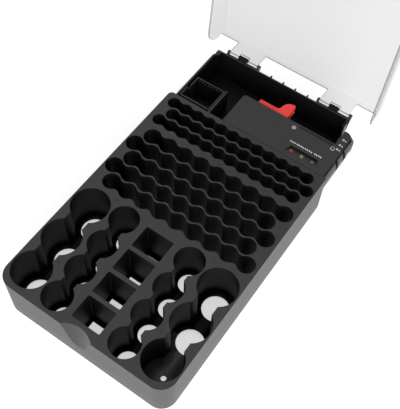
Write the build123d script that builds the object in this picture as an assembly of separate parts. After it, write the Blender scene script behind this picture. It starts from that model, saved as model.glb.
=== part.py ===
"""Battery organiser: a deep tray of wells under a clear hinged cover, with a coin-cell box and a
lift-out battery tester in the recess behind the wells.

Millimetres.  +Z is up and the tray stands on z = 0.  +X runs across the tray and +Y from the thumb
scoop to the hinge, with the origin in the middle of the tray's footprint.  Places in the tray are
worked out from its front wall.  The cover is shaped closed, then turned open about its hinge line.
"""
from build123d import *
import math
import os

os.makedirs("parts", exist_ok=True)

# ================================================================ driving dimensions
# ---- wells: AA and AAA rows are lobes that run into each other through a waist
AA_R = 7.85
AA_PITCH = 17.0
AA_WAIST = 4.7            # half height of the passage between two lobes
AA_COUNT = 9
AA_ROWS = 5
AAA_R = 5.85
AAA_PITCH = 12.72
AAA_WAIST = 3.8
AAA_COUNT = 12
AAA_ROWS = 3
ROW_WALL = 1.95           # wavy wall between two staggered rows
CHORDS = 4                # straight stretches to each arc of a wave
C_R = 13.0
C_PITCH = 28.0
C_COUNT = 4
C_NECK = 6.2              # half width of the opening between two C wells
D_R = 16.9
D_PITCH = 36.45
D_COUNT = 3
D_NECK = 9.2
NINE_W = 27.0             # wells of the 9 V batteries
NINE_D = 21.0
NINE_PITCH = 25.0
NINE_COUNT = 4
WELL_DEPTH = 41.5

# ---- floors of the wells
C_LEDGE = 3.8             # ring that the cell stands on, round the hole
D_LEDGE = 5.0
NINE_LEDGE_X = 2.2
NINE_LEDGE_Y = 3.3
PIN_HOLE_R = 2.4          # one D well is closed but for this
AA_SLOT = 6.0
AAA_SLOT = 4.5
FLOOR_T = 2.0
FOOT = 2.5                # the floors stand this far above the table

# ---- strips of deck round the wells
LEFT_EDGE = 1.2           # deck edge to the first AA lobe
RIGHT_EDGE = 3.2
D_EDGE = 1.4
D_TO_C = 1.2
C_FRONT = 3.4             # front wall to the first C well
D_FRONT = 5.1
NINE_FRONT = 10.0
C_TO_AA = 2.85
AA_TO_AAA = 5.1
BACK_STRIP = 3.65
AAA_SHIFT = 1.7           # the AAA rows stand this far right of the middle

# ---- walls of the tray
SKIN = 2.0
DECK_T = 2.2
WELL_SKIN = 1.3           # skirts that hang round the wells
FRONT_CORNER = 14.0
BACK_CORNER = 4.0
SHARP = 0.5               # corners that are only just broken
ROUND = 16                # sides of the small round pieces and holes

# ---- thumb scoop in the front wall
SCOOP_X = -1.5
SCOOP_R = 22.0
SCOOP_BITE = 5.9          # how far it cuts into the deck
SCOOP_DROP = 28.0         # how far down the wall it runs out
SCOOP_SKIN = 2.0

# ---- recess behind the wells
RECESS_D = 64.5           # from the deep body to the outside of the rear wall
RECESS_DEPTH = 27.2
RECESS_LEFT = 5.7         # how far its left wall stands in from the deck's edge
RECESS_RIGHT = 14.6
RECESS_CORNER = 5.5       # outer radius of its rear left corner
REAR_LEAN = 20.0          # the rear wall leans out to its rim over this height
REAR_RIM = 1.5            # thickness of that rim
FLANGE_W = 4.0            # from the foot of the rear wall to the edge of the rim
FLANGE_T = 2.2
FLANGE_END = 1.2          # the flange stops short of the corners by this
DIVIDER_X = -41.2
DIVIDER_T = 1.9
DIVIDER_LEN = 30.3
REAR_RIBS = [-16.8, -3.6, 9.4, 22.4]
REAR_RIB_T = 1.4
REAR_RIB_OUT = 2.2        # how far a rib shows past the flange
REAR_RIB_H = 26.0
SEAT_RIBS = [-8.0, 44.0]  # ribs under the tester
SEAT_RIB_T = 1.8

# ---- hinge
HINGE_OUT = 3.0           # pin axis behind the flange
HINGE_DROP = 0.5          # pin axis below the deck
HINGE_X = 49.2
PIN_R = 1.3
PIN_PLAY = 0.08
EAR_R = 2.8
EAR_FOOT = 13.0           # how far down the wall a cheek reaches
EAR_LEFT_T = 1.6
EAR_RIGHT_T = 2.8
HINGE_LEDGE = 1.3         # narrow ledge between the cheeks, under the pin
HINGE_LEDGE_DROP = 1.3
HINGE_LEDGE_T = 2.0
KNUCKLE_HALF = 4.7
KNUCKLE_MOUTH = 1.0       # half width of the slit that the pin snaps in by
HINGE_PLAY = 0.4          # end play of the tabs

# ---- cover
OPEN_ANGLE = 95.5
COVER_OVER = 5.2          # how far it stands out round the tray
COVER_LAP = 6.6           # how far its rim hangs below the deck
COVER_H = 29.6
COVER_T = 1.8
COVER_DRAFT = 1.9
COVER_BACK_CORNER = 5.0
COVER_HEEL = 14.5         # rounded lower rear corners of its sides
COVER_BACK_CUT = 21.8     # the rear skirt is cut short by this, above the rim
TAB_HALF = 15.3

# ---- coin-cell box
BOX_W = 31.6
BOX_D = 26.8
BOX_WALL = 1.0
BOX_FLOOR = 1.4
BOX_GAP = 0.5             # to the divider
BOX_FRONT_GAP = 1.7
BOX_REST = 0.2
BOX_SLOTS = 9
BOX_JOG = 1.6             # the rear half of its left wall stands further in
COMB_T = 0.8
COMB_DEEP = 2.6
COMB_DROP = 1.2
BOX_NOTCH_W = 2.8
BOX_NOTCH_H = 3.0

# ---- tester
TESTER_X = -25.1          # its left end
TESTER_L = 107.3
TESTER_D = 36.4
TESTER_H = 15.0
TESTER_GAP = 0.2          # to the deep body
TESTER_REST = 0.2
TESTER_WALL = 1.8
TESTER_BASE_H = 7.4       # from the underside to the seam
SEAM = 0.2
JAW_W = 11.7
JAW_REACH = 19.3
JAW_CORNER = 6.0
LEFT_CORNER = 3.0
SIDE_SLOPE = 3.3          # the right side leans out by this below the top
SIDE_DROP = 6.0
SIDE_GROOVE_W = 1.3       # groove along the right edge of the flat top
SIDE_GROOVE_DEEP = 3.4
SCREW_R = 1.0
SCREW_HEAD_R = 2.1
SCREW_HEAD_H = 1.6
SCREW_SINK = 0.5
SCREW_PLAY = 0.2
POST_R = 2.6
LED_FIRST = 15.4          # lamp nearest the right end, from that end of the top
LED_PITCH = 10.55
LED_FROM_FRONT = 7.1
LED_R = 2.45
LED_PROUD = 0.6           # rounded tip above the flat top
LED_PLAY = 0.1
COLLAR_RISE = 0.7         # collar of a lamp above the board
COLLAR_T = 1.0
COLLAR_OUT = 0.4
LEG_SPACING = 2.54
LEG_T = 0.5
LEG_HOLE = 0.8
LED_NAMES = ["led_green", "led_yellow", "led_red"]
POCKET_DEEP = 2.2         # the lamps' pocket slopes down to this behind them
POCKET_FRONT = 4.4        # and runs this far ahead of them
POCKET_BACK = 5.2
POCKET_SIDE = 3.0
POCKET_SPLAY = 3.2
POCKET_SKIN = 1.2
RIVET_IN = 47.6           # rivet contact, from the right end of the top
EYELET_IN = 8.1
CONTACT_BACK = 6.0        # both, from the rear edge
CONTACT_R = 2.1
CONTACT_PIN = 1.6
CONTACT_PROUD = 0.5
EYELET_HOLE = 1.2
GROOVE_W = 0.7
GROOVE_DEEP = 0.6
GROOVES_BACK = [1.7, 3.0]
NINE_TERMINALS = 12.7     # spacing of the two slots in the right side
NINE_SLOT_W = 4.4
NINE_SLOT_BACK = 8.6      # slot pair's middle, from the rear edge
NINE_SLOT_DEEP = 3.4
BOARD_T = 1.6
BOARD_L = 48.0
BOARD_D = 22.6
BOARD_RISE = 5.1          # underside of the board above the tester's
CHIP_L = 9.6              # flat chip on the board
CHIP_D = 6.2
CHIP_H = 3.3
RESISTOR_R = 1.1
RESISTOR_L = 6.4
RESISTOR_LEADS = 10.0
RESISTOR_PITCH = 6.0
METAL = 0.4               # contact strip
STRIP_EDGE = 2.6          # edge of the jaw to its contact plate
SIDE_CONTACT_W = 5.6
SIDE_CONTACT_H = 3.9
WIPER_REACH = 2.4         # how far the wiper's tip runs ahead of the carriage
RAIL_SPARE = 1.0          # rail beyond the tip's travel, at both ends

# ---- red slider
SLIDER_GAP = 0.3          # to the tester's rear face
SLIDER_L = 32.2
SLIDER_ARM = 3.9          # depth of the ribbed arm
SLIDER_REACH = 16.5
SLIDER_TAB = 10.6
SLIDER_T = 4.0
SLIDER_PROUD = 0.4
JAW_OPENING = 49.0        # between the two jaws as drawn
TRAVEL_OUT = 13.5         # how far the slider draws back
TRAVEL_IN = 5.5           # and how far it closes up
CARRIAGE_L = 16.0
CARRIAGE_D = 5.4
RUN_GAP = 0.4             # round the slider's neck and carriage
GRIP_PITCH = 2.6
GRIP_T = 1.1
GRIP_H = 0.7
GRIP_EDGE = 0.5

# ================================================================ worked out from them
FLOOR_TOP = FOOT + FLOOR_T
DECK_Z = FLOOR_TOP + WELL_DEPTH
DECK_W = (AA_COUNT - 0.5) * AA_PITCH + 2 * AA_R + LEFT_EDGE + RIGHT_EDGE
HALF_W = DECK_W / 2
AA_MIDDLE = (LEFT_EDGE - RIGHT_EDGE) / 2
D_X = HALF_W - D_EDGE - D_R
C_X = D_X - D_R - D_TO_C - C_R
AA_ROW_PITCH = AA_R + AA_WAIST + ROW_WALL
AAA_ROW_PITCH = AAA_R + AAA_WAIST + ROW_WALL
AA_START = C_FRONT + C_R + (C_COUNT - 1) * C_PITCH + C_R + C_TO_AA + AA_R
AAA_START = AA_START + (AA_ROWS - 1) * AA_ROW_PITCH + AA_R + AA_TO_AAA + AAA_R
DECK_D = AAA_START + (AAA_ROWS - 1) * AAA_ROW_PITCH + AAA_R + BACK_STRIP
FRONT_Y = -(DECK_D + RECESS_D) / 2
BODY_Y = FRONT_Y + DECK_D             # outer face of the deep body's rear wall
REAR_Y = BODY_Y + RECESS_D            # outer face of the rear wall
RECESS_Z = DECK_Z - RECESS_DEPTH      # recess floor
RECESS_X0 = -HALF_W + RECESS_LEFT
RECESS_X1 = HALF_W - RECESS_RIGHT
FLANGE_Y = REAR_Y + FLANGE_W
HINGE_Y = FLANGE_Y + HINGE_OUT
HINGE_Z = DECK_Z - HINGE_DROP
COVER_HALF = HALF_W + COVER_OVER
COVER_Y0 = FRONT_Y - COVER_OVER
COVER_Y1 = HINGE_Y
RIM_Z = DECK_Z - COVER_LAP
COVER_Z1 = RIM_Z + COVER_H
BOX_X1 = DIVIDER_X - BOX_GAP
BOX_X0 = BOX_X1 - BOX_W
BOX_Y0 = BODY_Y + BOX_FRONT_GAP
BOX_Y1 = BOX_Y0 + BOX_D
BOX_Z0 = RECESS_Z + BOX_REST
TESTER_X1 = TESTER_X + TESTER_L
TOP_X1 = TESTER_X1 - SIDE_SLOPE       # right edge of the flat top
TESTER_Y0 = BODY_Y + TESTER_GAP
TESTER_Y1 = TESTER_Y0 + TESTER_D
TESTER_Z0 = DECK_Z - TESTER_H
SEAM_Z = TESTER_Z0 + TESTER_BASE_H
SEAT_Z = TESTER_Z0 - TESTER_REST
JAW_X = TESTER_X1 - JAW_W             # inner face of the fixed jaw
JAW_Y = TESTER_Y1 + JAW_REACH
LED_Y = TESTER_Y0 + LED_FROM_FRONT
LED_X = [TOP_X1 - LED_FIRST - i * LED_PITCH for i in range(len(LED_NAMES))]
CONTACT_Y = TESTER_Y1 - CONTACT_BACK
RIVET_X = TOP_X1 - RIVET_IN
EYELET_X = TOP_X1 - EYELET_IN
NINE_MID = TESTER_Y1 - NINE_SLOT_BACK
NINE_SLOTS = [NINE_MID - NINE_TERMINALS / 2, NINE_MID + NINE_TERMINALS / 2]
BOARD_X1 = TOP_X1 - TESTER_WALL - 1.0
BOARD_X0 = BOARD_X1 - BOARD_L
BOARD_Y0 = TESTER_Y0 + TESTER_WALL + 0.8
BOARD_Z0 = TESTER_Z0 + BOARD_RISE
BOARD_Z1 = BOARD_Z0 + BOARD_T
SLIDER_X1 = JAW_X - JAW_OPENING
SLIDER_X0 = SLIDER_X1 - SLIDER_L
SLIDER_Y0 = TESTER_Y1 + SLIDER_GAP
SLIDER_Y1 = SLIDER_Y0 + SLIDER_REACH
SLIDER_Z1 = DECK_Z + SLIDER_PROUD
SLIDER_Z0 = SLIDER_Z1 - SLIDER_T
CARRIAGE_Y1 = TESTER_Y1 - TESTER_WALL - 2 * RUN_GAP   # rear face of the carriage
WIPER_Z = TESTER_Z0 + 5.2                     # underside of the carriage
JAW_PLATE_Z = TESTER_Z0 + 4.2                 # lower end of the moving jaw
RAIL_Z = TESTER_Z0 + TESTER_WALL


# ================================================================ helpers
def arc(p0, p1, p2):
    return Edge.make_three_point_arc(p0, p1, p2)


def corner(cx, cy, r, start, z=0.0):
    """Quarter circle about (cx, cy), counter-clockwise from the angle start, in degrees."""
    pts = []
    for a in (start, start + 45, start + 90):
        pts.append((cx + r * math.cos(math.radians(a)), cy + r * math.sin(math.radians(a)), z))
    return arc(*pts)


def closed(edges, z=0.0):
    """Face inside a loop of arcs, with straight lines drawn across the gaps between them."""
    loop = []
    for i, edge in enumerate(edges):
        following = edges[(i + 1) % len(edges)]
        loop.append(edge)
        if (edge @ 1 - following @ 0).length > 1e-6:
            loop.append(Edge.make_line(edge @ 1, following @ 0))
    return Face(Wire(loop))


def outline(x0, x1, y0, y1, radii, z=0.0):
    """Rectangle with a radius for each corner: front left, front right, back right, back left."""
    fl, fr, br, bl = radii
    return closed([
        corner(x0 + fl, y0 + fl, fl, 180, z),
        corner(x1 - fr, y0 + fr, fr, 270, z),
        corner(x1 - br, y1 - br, br, 0, z),
        corner(x0 + bl, y1 - bl, bl, 90, z),
    ])


def prism(face, z0, z1):
    return extrude(Pos(0, 0, z0) * face, z1 - z0, dir=(0, 0, 1))


def block(x0, x1, y0, y1, z0, z1):
    return Pos((x0 + x1) / 2, (y0 + y1) / 2, (z0 + z1) / 2) * Box(x1 - x0, y1 - y0, z1 - z0)


def post(x, y, z0, z1, r):
    return prism(Pos(x, y) * RegularPolygon(r, ROUND), z0, z1)


def rod_x(x0, x1, y, z, r):
    return Pos((x0 + x1) / 2, y, z) * Rot(0, 90, 0) * Cylinder(r, x1 - x0)


def side_profile(points, x0, x1):
    """Prism along X whose section is a polygon of (y, z) points."""
    face = make_face(Polyline(*[(x0, y, z) for y, z in points], close=True))
    return extrude(face, x1 - x0, dir=(1, 0, 0))


def save(shape, name):
    """Write one node: one solid, or a group of separate solids."""
    solids = list(shape.solids())
    body = solids[0] if len(solids) == 1 else Compound(children=solids)
    body.label = name
    export_step(body, "parts/" + name + ".step")


# ================================================================ plan of the wells
def wavy_row(middle, y, radius, pitch, count, waist):
    """Row of round wells that run into each other, smooth all the way round.

    Each passage is drawn in by an arc that touches the lobes on both sides, so that the wall
    between two staggered rows is an even wave.  Every arc is a few chords.
    """
    half = pitch / 2
    bulge = (half ** 2 + waist ** 2 - radius ** 2) / (2 * (radius - waist))
    rise = waist + bulge
    turn = math.atan2(rise, half)
    sweep = math.pi - 2 * turn
    rear = []
    for i in range(count):
        x = middle + (i - (count - 1) / 2) * pitch
        start = math.pi if i == 0 else math.pi - turn
        end = 0.0 if i == count - 1 else turn
        steps = round((start - end) / sweep * CHORDS)
        for k in range(steps + 1):
            a = start + (end - start) * k / steps
            rear.append((x + radius * math.cos(a), radius * math.sin(a)))
        if i < count - 1:
            for k in range(1, CHORDS):
                a = turn - math.pi + sweep * k / CHORDS
                rear.append((x + half + bulge * math.cos(a), rise + bulge * math.sin(a)))
    front = [(x, -dy) for x, dy in reversed(rear[1:-1])]
    return make_face(Polyline(*[(x, y + dy) for x, dy in rear + front], close=True))


def row_places(start, rows, row_pitch, middle, pitch, first_side):
    """(middle, y) of each staggered row, from the front."""
    places = []
    for i in range(rows):
        side = first_side if i % 2 == 0 else -first_side
        places.append((middle + side * pitch / 4, FRONT_Y + start + i * row_pitch))
    return places


def spots(front, pitch, count):
    """Places of a column's wells, along Y."""
    return [FRONT_Y + front + i * pitch for i in range(count)]


AA_PLACES = row_places(AA_START, AA_ROWS, AA_ROW_PITCH, AA_MIDDLE, AA_PITCH, 1)
AAA_PLACES = row_places(AAA_START, AAA_ROWS, AAA_ROW_PITCH, AAA_SHIFT, AAA_PITCH, -1)
C_Y = spots(C_FRONT + C_R, C_PITCH, C_COUNT)
D_Y = spots(D_FRONT + D_R, D_PITCH, D_COUNT)
NINE_Y = spots(NINE_FRONT + NINE_D / 2, NINE_PITCH, NINE_COUNT)


def column(x, ys, well, neck):
    """Column of wells joined by straight-sided necks."""
    shape = Sketch()
    for y in ys:
        shape += Pos(x, y) * well
    return shape + Pos(x, (ys[0] + ys[-1]) / 2) * Rectangle(2 * neck, ys[-1] - ys[0])


def well_plan():
    """Plan of every well."""
    plan = Sketch()
    for middle, y in AA_PLACES:
        plan += wavy_row(middle, y, AA_R, AA_PITCH, AA_COUNT, AA_WAIST)
    for middle, y in AAA_PLACES:
        plan += wavy_row(middle, y, AAA_R, AAA_PITCH, AAA_COUNT, AAA_WAIST)
    for side in (-1, 1):
        plan += column(side * D_X, D_Y, Circle(D_R), D_NECK)
        plan += column(side * C_X, C_Y, Circle(C_R), C_NECK)
    for y in NINE_Y:
        plan += Pos(0, y) * Rectangle(NINE_W, NINE_D)
    return plan


def row_block(places, radius, pitch, count):
    """Rectangle that holds a set of staggered rows with a skirt round them."""
    reach = (count - 1) * pitch / 2 + radius + WELL_SKIN
    x0 = min(middle for middle, y in places) - reach
    x1 = max(middle for middle, y in places) + reach
    y0, y1 = places[0][1] - radius - WELL_SKIN, places[-1][1] + radius + WELL_SKIN
    return Pos((x0 + x1) / 2, (y0 + y1) / 2) * Rectangle(x1 - x0, y1 - y0)


def skirt_plan():
    """Plan of the wells with the skirts that hang round them."""
    plan = row_block(AA_PLACES, AA_R, AA_PITCH, AA_COUNT)
    plan += row_block(AAA_PLACES, AAA_R, AAA_PITCH, AAA_COUNT)
    for side in (-1, 1):
        plan += column(side * D_X, D_Y, RegularPolygon(D_R + WELL_SKIN, ROUND), D_NECK + WELL_SKIN)
        plan += column(side * C_X, C_Y, RegularPolygon(C_R + WELL_SKIN, ROUND), C_NECK + WELL_SKIN)
    for y in NINE_Y:
        plan += Pos(0, y) * Rectangle(NINE_W + 2 * WELL_SKIN, NINE_D + 2 * WELL_SKIN)
    return plan


def floor_holes():
    """Holes through the floors, smaller than the wells, so that a ledge carries the cells."""
    holes = Sketch()
    for side in (-1, 1):
        for y in C_Y:
            holes += Pos(side * C_X, y) * RegularPolygon(C_R - C_LEDGE, ROUND)
        for y in D_Y:
            closed_one = side == 1 and y == D_Y[0]
            radius = PIN_HOLE_R if closed_one else D_R - D_LEDGE
            holes += Pos(side * D_X, y) * RegularPolygon(radius, ROUND)
    for y in NINE_Y:
        holes += Pos(0, y) * Rectangle(NINE_W - 2 * NINE_LEDGE_X, NINE_D - 2 * NINE_LEDGE_Y)
    for middle, y in AA_PLACES:
        holes += Pos(middle, y) * Rectangle((AA_COUNT - 1) * AA_PITCH, AA_SLOT)
    for middle, y in AAA_PLACES:
        holes += Pos(middle, y) * Rectangle((AAA_COUNT - 1) * AAA_PITCH, AAA_SLOT)
    return holes


# ================================================================ tray
def deep_body():
    """Outer wall, deck, skirts and floors of the wells."""
    deck = outline(-HALF_W, HALF_W, FRONT_Y, BODY_Y, (FRONT_CORNER, FRONT_CORNER, SHARP, BACK_CORNER))
    inner = outline(-HALF_W + SKIN, HALF_W - SKIN, FRONT_Y + SKIN, BODY_Y - SKIN,
                    (FRONT_CORNER - SKIN, FRONT_CORNER - SKIN, SHARP, BACK_CORNER - SKIN))
    wells = well_plan()
    outer_wall = Sketch() + deck - inner
    walls = outer_wall + (skirt_plan() & deck)
    body = prism(outer_wall, 0, FOOT)
    body += prism(walls - floor_holes(), FOOT, FLOOR_TOP)
    body += prism(walls - wells, FLOOR_TOP, DECK_Z - DECK_T)
    body += prism(Sketch() + deck - wells, DECK_Z - DECK_T, DECK_Z)
    return body


def scoop(radius):
    """Slanting cylinder that bites into the deck and runs out down the front wall."""
    over = 1.0
    top = Pos(SCOOP_X, FRONT_Y + SCOOP_BITE - SCOOP_R, DECK_Z) * Circle(radius)
    down = Vector(0, -SCOOP_BITE, -SCOOP_DROP)
    start = Pos(0, SCOOP_BITE / SCOOP_DROP * over, over) * top
    return Solid.extrude(start.faces()[0], down * (1 + over / SCOOP_DROP))


def recess():
    """Walls and raised floor behind the deep body, open to the sky."""
    x0, x1, y0 = RECESS_X0, RECESS_X1, BODY_Y - SKIN
    shell = outline(x0, x1, y0, REAR_Y, (SHARP, SHARP, SHARP, RECESS_CORNER))
    hollow = outline(x0 + SKIN, x1 - SKIN, BODY_Y, REAR_Y - SKIN,
                     (SHARP, SHARP, SHARP, RECESS_CORNER - SKIN))
    walls = prism(Sketch() + shell - hollow, 0, DECK_Z)
    walls += prism(shell, RECESS_Z - FLOOR_T, RECESS_Z)
    # the tester lies over the right wall, which is low as far back as the tester's jaw
    walls -= block(x1 - SKIN - 1, x1 + 1, BODY_Y, JAW_Y + 2, SEAT_Z, DECK_Z + 1)
    # the deep body has its own wall there
    walls -= block(x0 - 1, x1 + 1, y0 - 1, BODY_Y - SKIN / 2, -1, DECK_Z + 1)
    lean = [(REAR_Y - SKIN / 2, DECK_Z - REAR_LEAN - FLANGE_T), (REAR_Y - SKIN / 2, DECK_Z),
            (FLANGE_Y, DECK_Z), (FLANGE_Y, DECK_Z - FLANGE_T), (REAR_Y, DECK_Z - REAR_LEAN - FLANGE_T)]
    flange = side_profile(lean, x0 + FLANGE_END, x1 - FLANGE_END)
    divider = block(DIVIDER_X, DIVIDER_X + DIVIDER_T, BODY_Y - SKIN / 2, BODY_Y + DIVIDER_LEN,
                    RECESS_Z - FLOOR_T / 2, DECK_Z)
    shell = walls + flange + divider
    for x in SEAT_RIBS:
        shell += block(x, x + SEAT_RIB_T, BODY_Y - SKIN / 2, TESTER_Y1, RECESS_Z - FLOOR_T / 2, SEAT_Z)
    return shell


def rear_hollow():
    """What the leaning rear wall gives to the recess, from its foot up to the thin rim."""
    rim = FLANGE_Y - REAR_RIM
    front = REAR_Y - SKIN - 1
    over = (rim - REAR_Y + SKIN) / REAR_LEAN
    wedge = [(front, DECK_Z - REAR_LEAN), (REAR_Y - SKIN, DECK_Z - REAR_LEAN), (rim + over, DECK_Z + 1),
             (front, DECK_Z + 1)]
    return side_profile(wedge, RECESS_X0 + RECESS_CORNER, RECESS_X1 - SKIN - SHARP)


def rear_rib(x):
    """Gusset under the flange, with its tip showing past the flange's edge."""
    inside = REAR_Y - SKIN / 2
    tip = FLANGE_Y + REAR_RIB_OUT
    points = [(inside, DECK_Z - REAR_RIB_H), (inside, DECK_Z), (tip, DECK_Z), (tip, DECK_Z - FLANGE_T)]
    return side_profile(points, x - REAR_RIB_T / 2, x + REAR_RIB_T / 2)


def hinge_seat(x):
    """Two cheeks and, between them, a snap knuckle that is slit below."""
    inside = REAR_Y - SKIN / 2
    cheek = [(inside, DECK_Z - EAR_FOOT), (inside, DECK_Z), (FLANGE_Y, DECK_Z),
             (HINGE_Y - 0.8, HINGE_Z + EAR_R), (HINGE_Y + 1.2, HINGE_Z + EAR_R - 0.3),
             (HINGE_Y + EAR_R, HINGE_Z), (HINGE_Y + 0.6, HINGE_Z - EAR_R)]
    out = TAB_HALF + HINGE_PLAY
    parts = side_profile(cheek, x - out - EAR_LEFT_T, x - out)
    parts += side_profile(cheek, x + out, x + out + EAR_RIGHT_T)
    parts += block(x - out - SHARP, x + out + SHARP, FLANGE_Y - 1, FLANGE_Y + HINGE_LEDGE,
                   DECK_Z - HINGE_LEDGE_DROP - HINGE_LEDGE_T, DECK_Z - HINGE_LEDGE_DROP)
    x0, x1 = x - KNUCKLE_HALF, x + KNUCKLE_HALF
    parts += rod_x(x0, x1, HINGE_Y, HINGE_Z, EAR_R)
    parts += block(x0, x1, FLANGE_Y - 1, HINGE_Y, HINGE_Z - FLANGE_T + HINGE_DROP, DECK_Z)
    parts -= rod_x(x0 - 1, x1 + 1, HINGE_Y, HINGE_Z, PIN_R + PIN_PLAY)
    parts -= block(x0 - 1, x1 + 1, HINGE_Y - KNUCKLE_MOUTH, HINGE_Y + KNUCKLE_MOUTH,
                   HINGE_Z - EAR_R - 1, HINGE_Z)
    return parts


def make_tray():
    body = deep_body() + recess()
    pocket = block(-HALF_W, HALF_W, FRONT_Y, FRONT_Y + SCOOP_BITE + SCOOP_SKIN + 1, FOOT, DECK_Z)
    body += scoop(SCOOP_R + SCOOP_SKIN) & pocket
    body -= scoop(SCOOP_R)
    for x in REAR_RIBS:
        body += rear_rib(x)
    for side in (-1, 1):
        body += hinge_seat(side * HINGE_X)
    return body - rear_hollow()


# ================================================================ cover
def cover_ring(inset, z):
    """Outline of the cover at one height, drawn in by inset."""
    front = FRONT_CORNER + COVER_OVER - inset
    back = COVER_BACK_CORNER - inset
    return outline(-COVER_HALF + inset, COVER_HALF - inset, COVER_Y0 + inset, COVER_Y1 - inset,
                   (front, front, back, back), z)


def make_cover():
    lean = COVER_DRAFT / COVER_H
    roof = COVER_Z1 - COVER_T
    outer = loft([cover_ring(0.0, RIM_Z), cover_ring(COVER_DRAFT, COVER_Z1)], ruled=True)
    inner = loft([cover_ring(COVER_T, RIM_Z), cover_ring(COVER_T + lean * (roof - RIM_Z), roof)], ruled=True)
    shell = outer - inner
    # the lower rear corners of the sides are rounded off
    heel_y = COVER_Y1 - COVER_HEEL
    heel_z = RIM_Z + COVER_HEEL
    off = block(-COVER_HALF - 1, COVER_HALF + 1, heel_y, COVER_Y1 + 1, RIM_Z - 1, heel_z)
    shell -= off - rod_x(-COVER_HALF - 2, COVER_HALF + 2, heel_y, heel_z, COVER_HEEL)
    # the rear skirt is cut short, so that it swings down behind the tray
    inside = COVER_HALF - COVER_T
    skirt_z = RIM_Z + COVER_BACK_CUT
    shell -= block(-inside, inside, heel_y, COVER_Y1 + 1, RIM_Z - 1, skirt_z)
    foot = COVER_Y1 - lean * (HINGE_Z - RIM_Z)
    head = COVER_Y1 - lean * (skirt_z + 1 - RIM_Z)
    for side in (-1, 1):
        x0, x1 = side * HINGE_X - TAB_HALF, side * HINGE_X + TAB_HALF
        tab = side_profile([(foot - COVER_T, HINGE_Z), (foot, HINGE_Z), (head, skirt_z + 1),
                            (head - COVER_T, skirt_z + 1)], x0, x1)
        notch = KNUCKLE_HALF + HINGE_PLAY
        tab -= block(side * HINGE_X - notch, side * HINGE_X + notch, COVER_Y1 - 5, COVER_Y1 + 5,
                     HINGE_Z - 1, HINGE_Z + EAR_R + 3 * HINGE_PLAY)
        shell += tab + rod_x(x0, x1, HINGE_Y, HINGE_Z, PIN_R)
    return shell.rotate(Axis((0, HINGE_Y, HINGE_Z), (1, 0, 0)), -OPEN_ANGLE)


# ================================================================ coin-cell box
def box_plan(inset):
    """Plan of the box, whose left wall steps in half way back."""
    x0, x1 = BOX_X0 + inset, BOX_X1 - inset
    y0, y1 = BOX_Y0 + inset, BOX_Y1 - inset
    step = (BOX_Y0 + BOX_Y1) / 2 - inset
    return make_face(Polyline((x0, y0), (x1, y0), (x1, y1), (x0 + BOX_JOG, y1), (x0 + BOX_JOG, step),
                              (x0, step), close=True))


def make_coin_box():
    box = prism(box_plan(0.0), BOX_Z0, DECK_Z)
    box -= prism(box_plan(BOX_WALL), BOX_Z0 + BOX_FLOOR, DECK_Z + 1)
    # combs along the front and back walls keep the cells apart
    first = BOX_X0 + BOX_JOG + BOX_WALL
    pitch = (BOX_X1 - BOX_WALL - first) / BOX_SLOTS
    for i in range(1, BOX_SLOTS):
        x = first + i * pitch
        for y0 in (BOX_Y0 + BOX_WALL / 2, BOX_Y1 - BOX_WALL / 2 - COMB_DEEP):
            box += block(x - COMB_T / 2, x + COMB_T / 2, y0, y0 + COMB_DEEP,
                         BOX_Z0 + BOX_FLOOR / 2, DECK_Z - COMB_DROP)
    middle = (BOX_Y0 + BOX_Y1) / 2 - BOX_WALL / 2
    box -= block(BOX_X0 - 1, BOX_X0 + BOX_JOG + BOX_WALL / 2, middle - BOX_NOTCH_W / 2,
                 middle + BOX_NOTCH_W / 2, DECK_Z - BOX_NOTCH_H, DECK_Z + 1)
    return box


# ================================================================ tester housing
def tester_plan(inset=0.0, lean=0.0):
    """L-shaped plan: a long body with the fixed jaw at its right end, which lean draws in."""
    x0, x1 = TESTER_X + inset, TESTER_X1 - lean - inset
    y0, y1 = TESTER_Y0 + inset, TESTER_Y1 - inset
    jaw_x, jaw_y = JAW_X + inset, JAW_Y - inset
    r = min(JAW_CORNER - inset, x1 - jaw_x - SHARP)
    a = max(LEFT_CORNER - inset, SHARP)
    edges = [
        Edge.make_line((x0, y0), (x1, y0)),
        Edge.make_line((x1, y0), (x1, jaw_y - r)),
        corner(x1 - r, jaw_y - r, r, 0),
        Edge.make_line((x1 - r, jaw_y), (jaw_x, jaw_y)),
        Edge.make_line((jaw_x, jaw_y), (jaw_x, y1)),
        Edge.make_line((jaw_x, y1), (x0 + a, y1)),
        corner(x0 + a, y1 - a, a, 90),
        Edge.make_line((x0, y1 - a), (x0, y0)),
    ]
    return Face(Wire(edges))


def screw_places():
    left = TESTER_X + TESTER_WALL + POST_R + 1.0
    return [(left, TESTER_Y0 + TESTER_D / 3), (BOARD_X0 - POST_R - 2.0, TESTER_Y0 + TESTER_D / 6),
            (JAW_X + JAW_W * 0.4, TESTER_Y1 + JAW_REACH / 2)]


def nine_slot(y, z0, z1):
    """Slot in the right side, behind which a 9 V contact stands."""
    return block(TESTER_X1 - NINE_SLOT_DEEP, TESTER_X1 + 1, y - NINE_SLOT_W / 2, y + NINE_SLOT_W / 2, z0, z1)


def pocket_plan():
    """Plan of the lamps' pocket, wider towards the front."""
    x0, x1 = LED_X[-1] - POCKET_SIDE, LED_X[0] + POCKET_SIDE
    y0, y1 = LED_Y - POCKET_FRONT, LED_Y + POCKET_BACK
    return make_face(Polyline((x0 - POCKET_SPLAY, y0), (x1 + POCKET_SPLAY, y0), (x1, y1), (x0, y1),
                              close=True))


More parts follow.
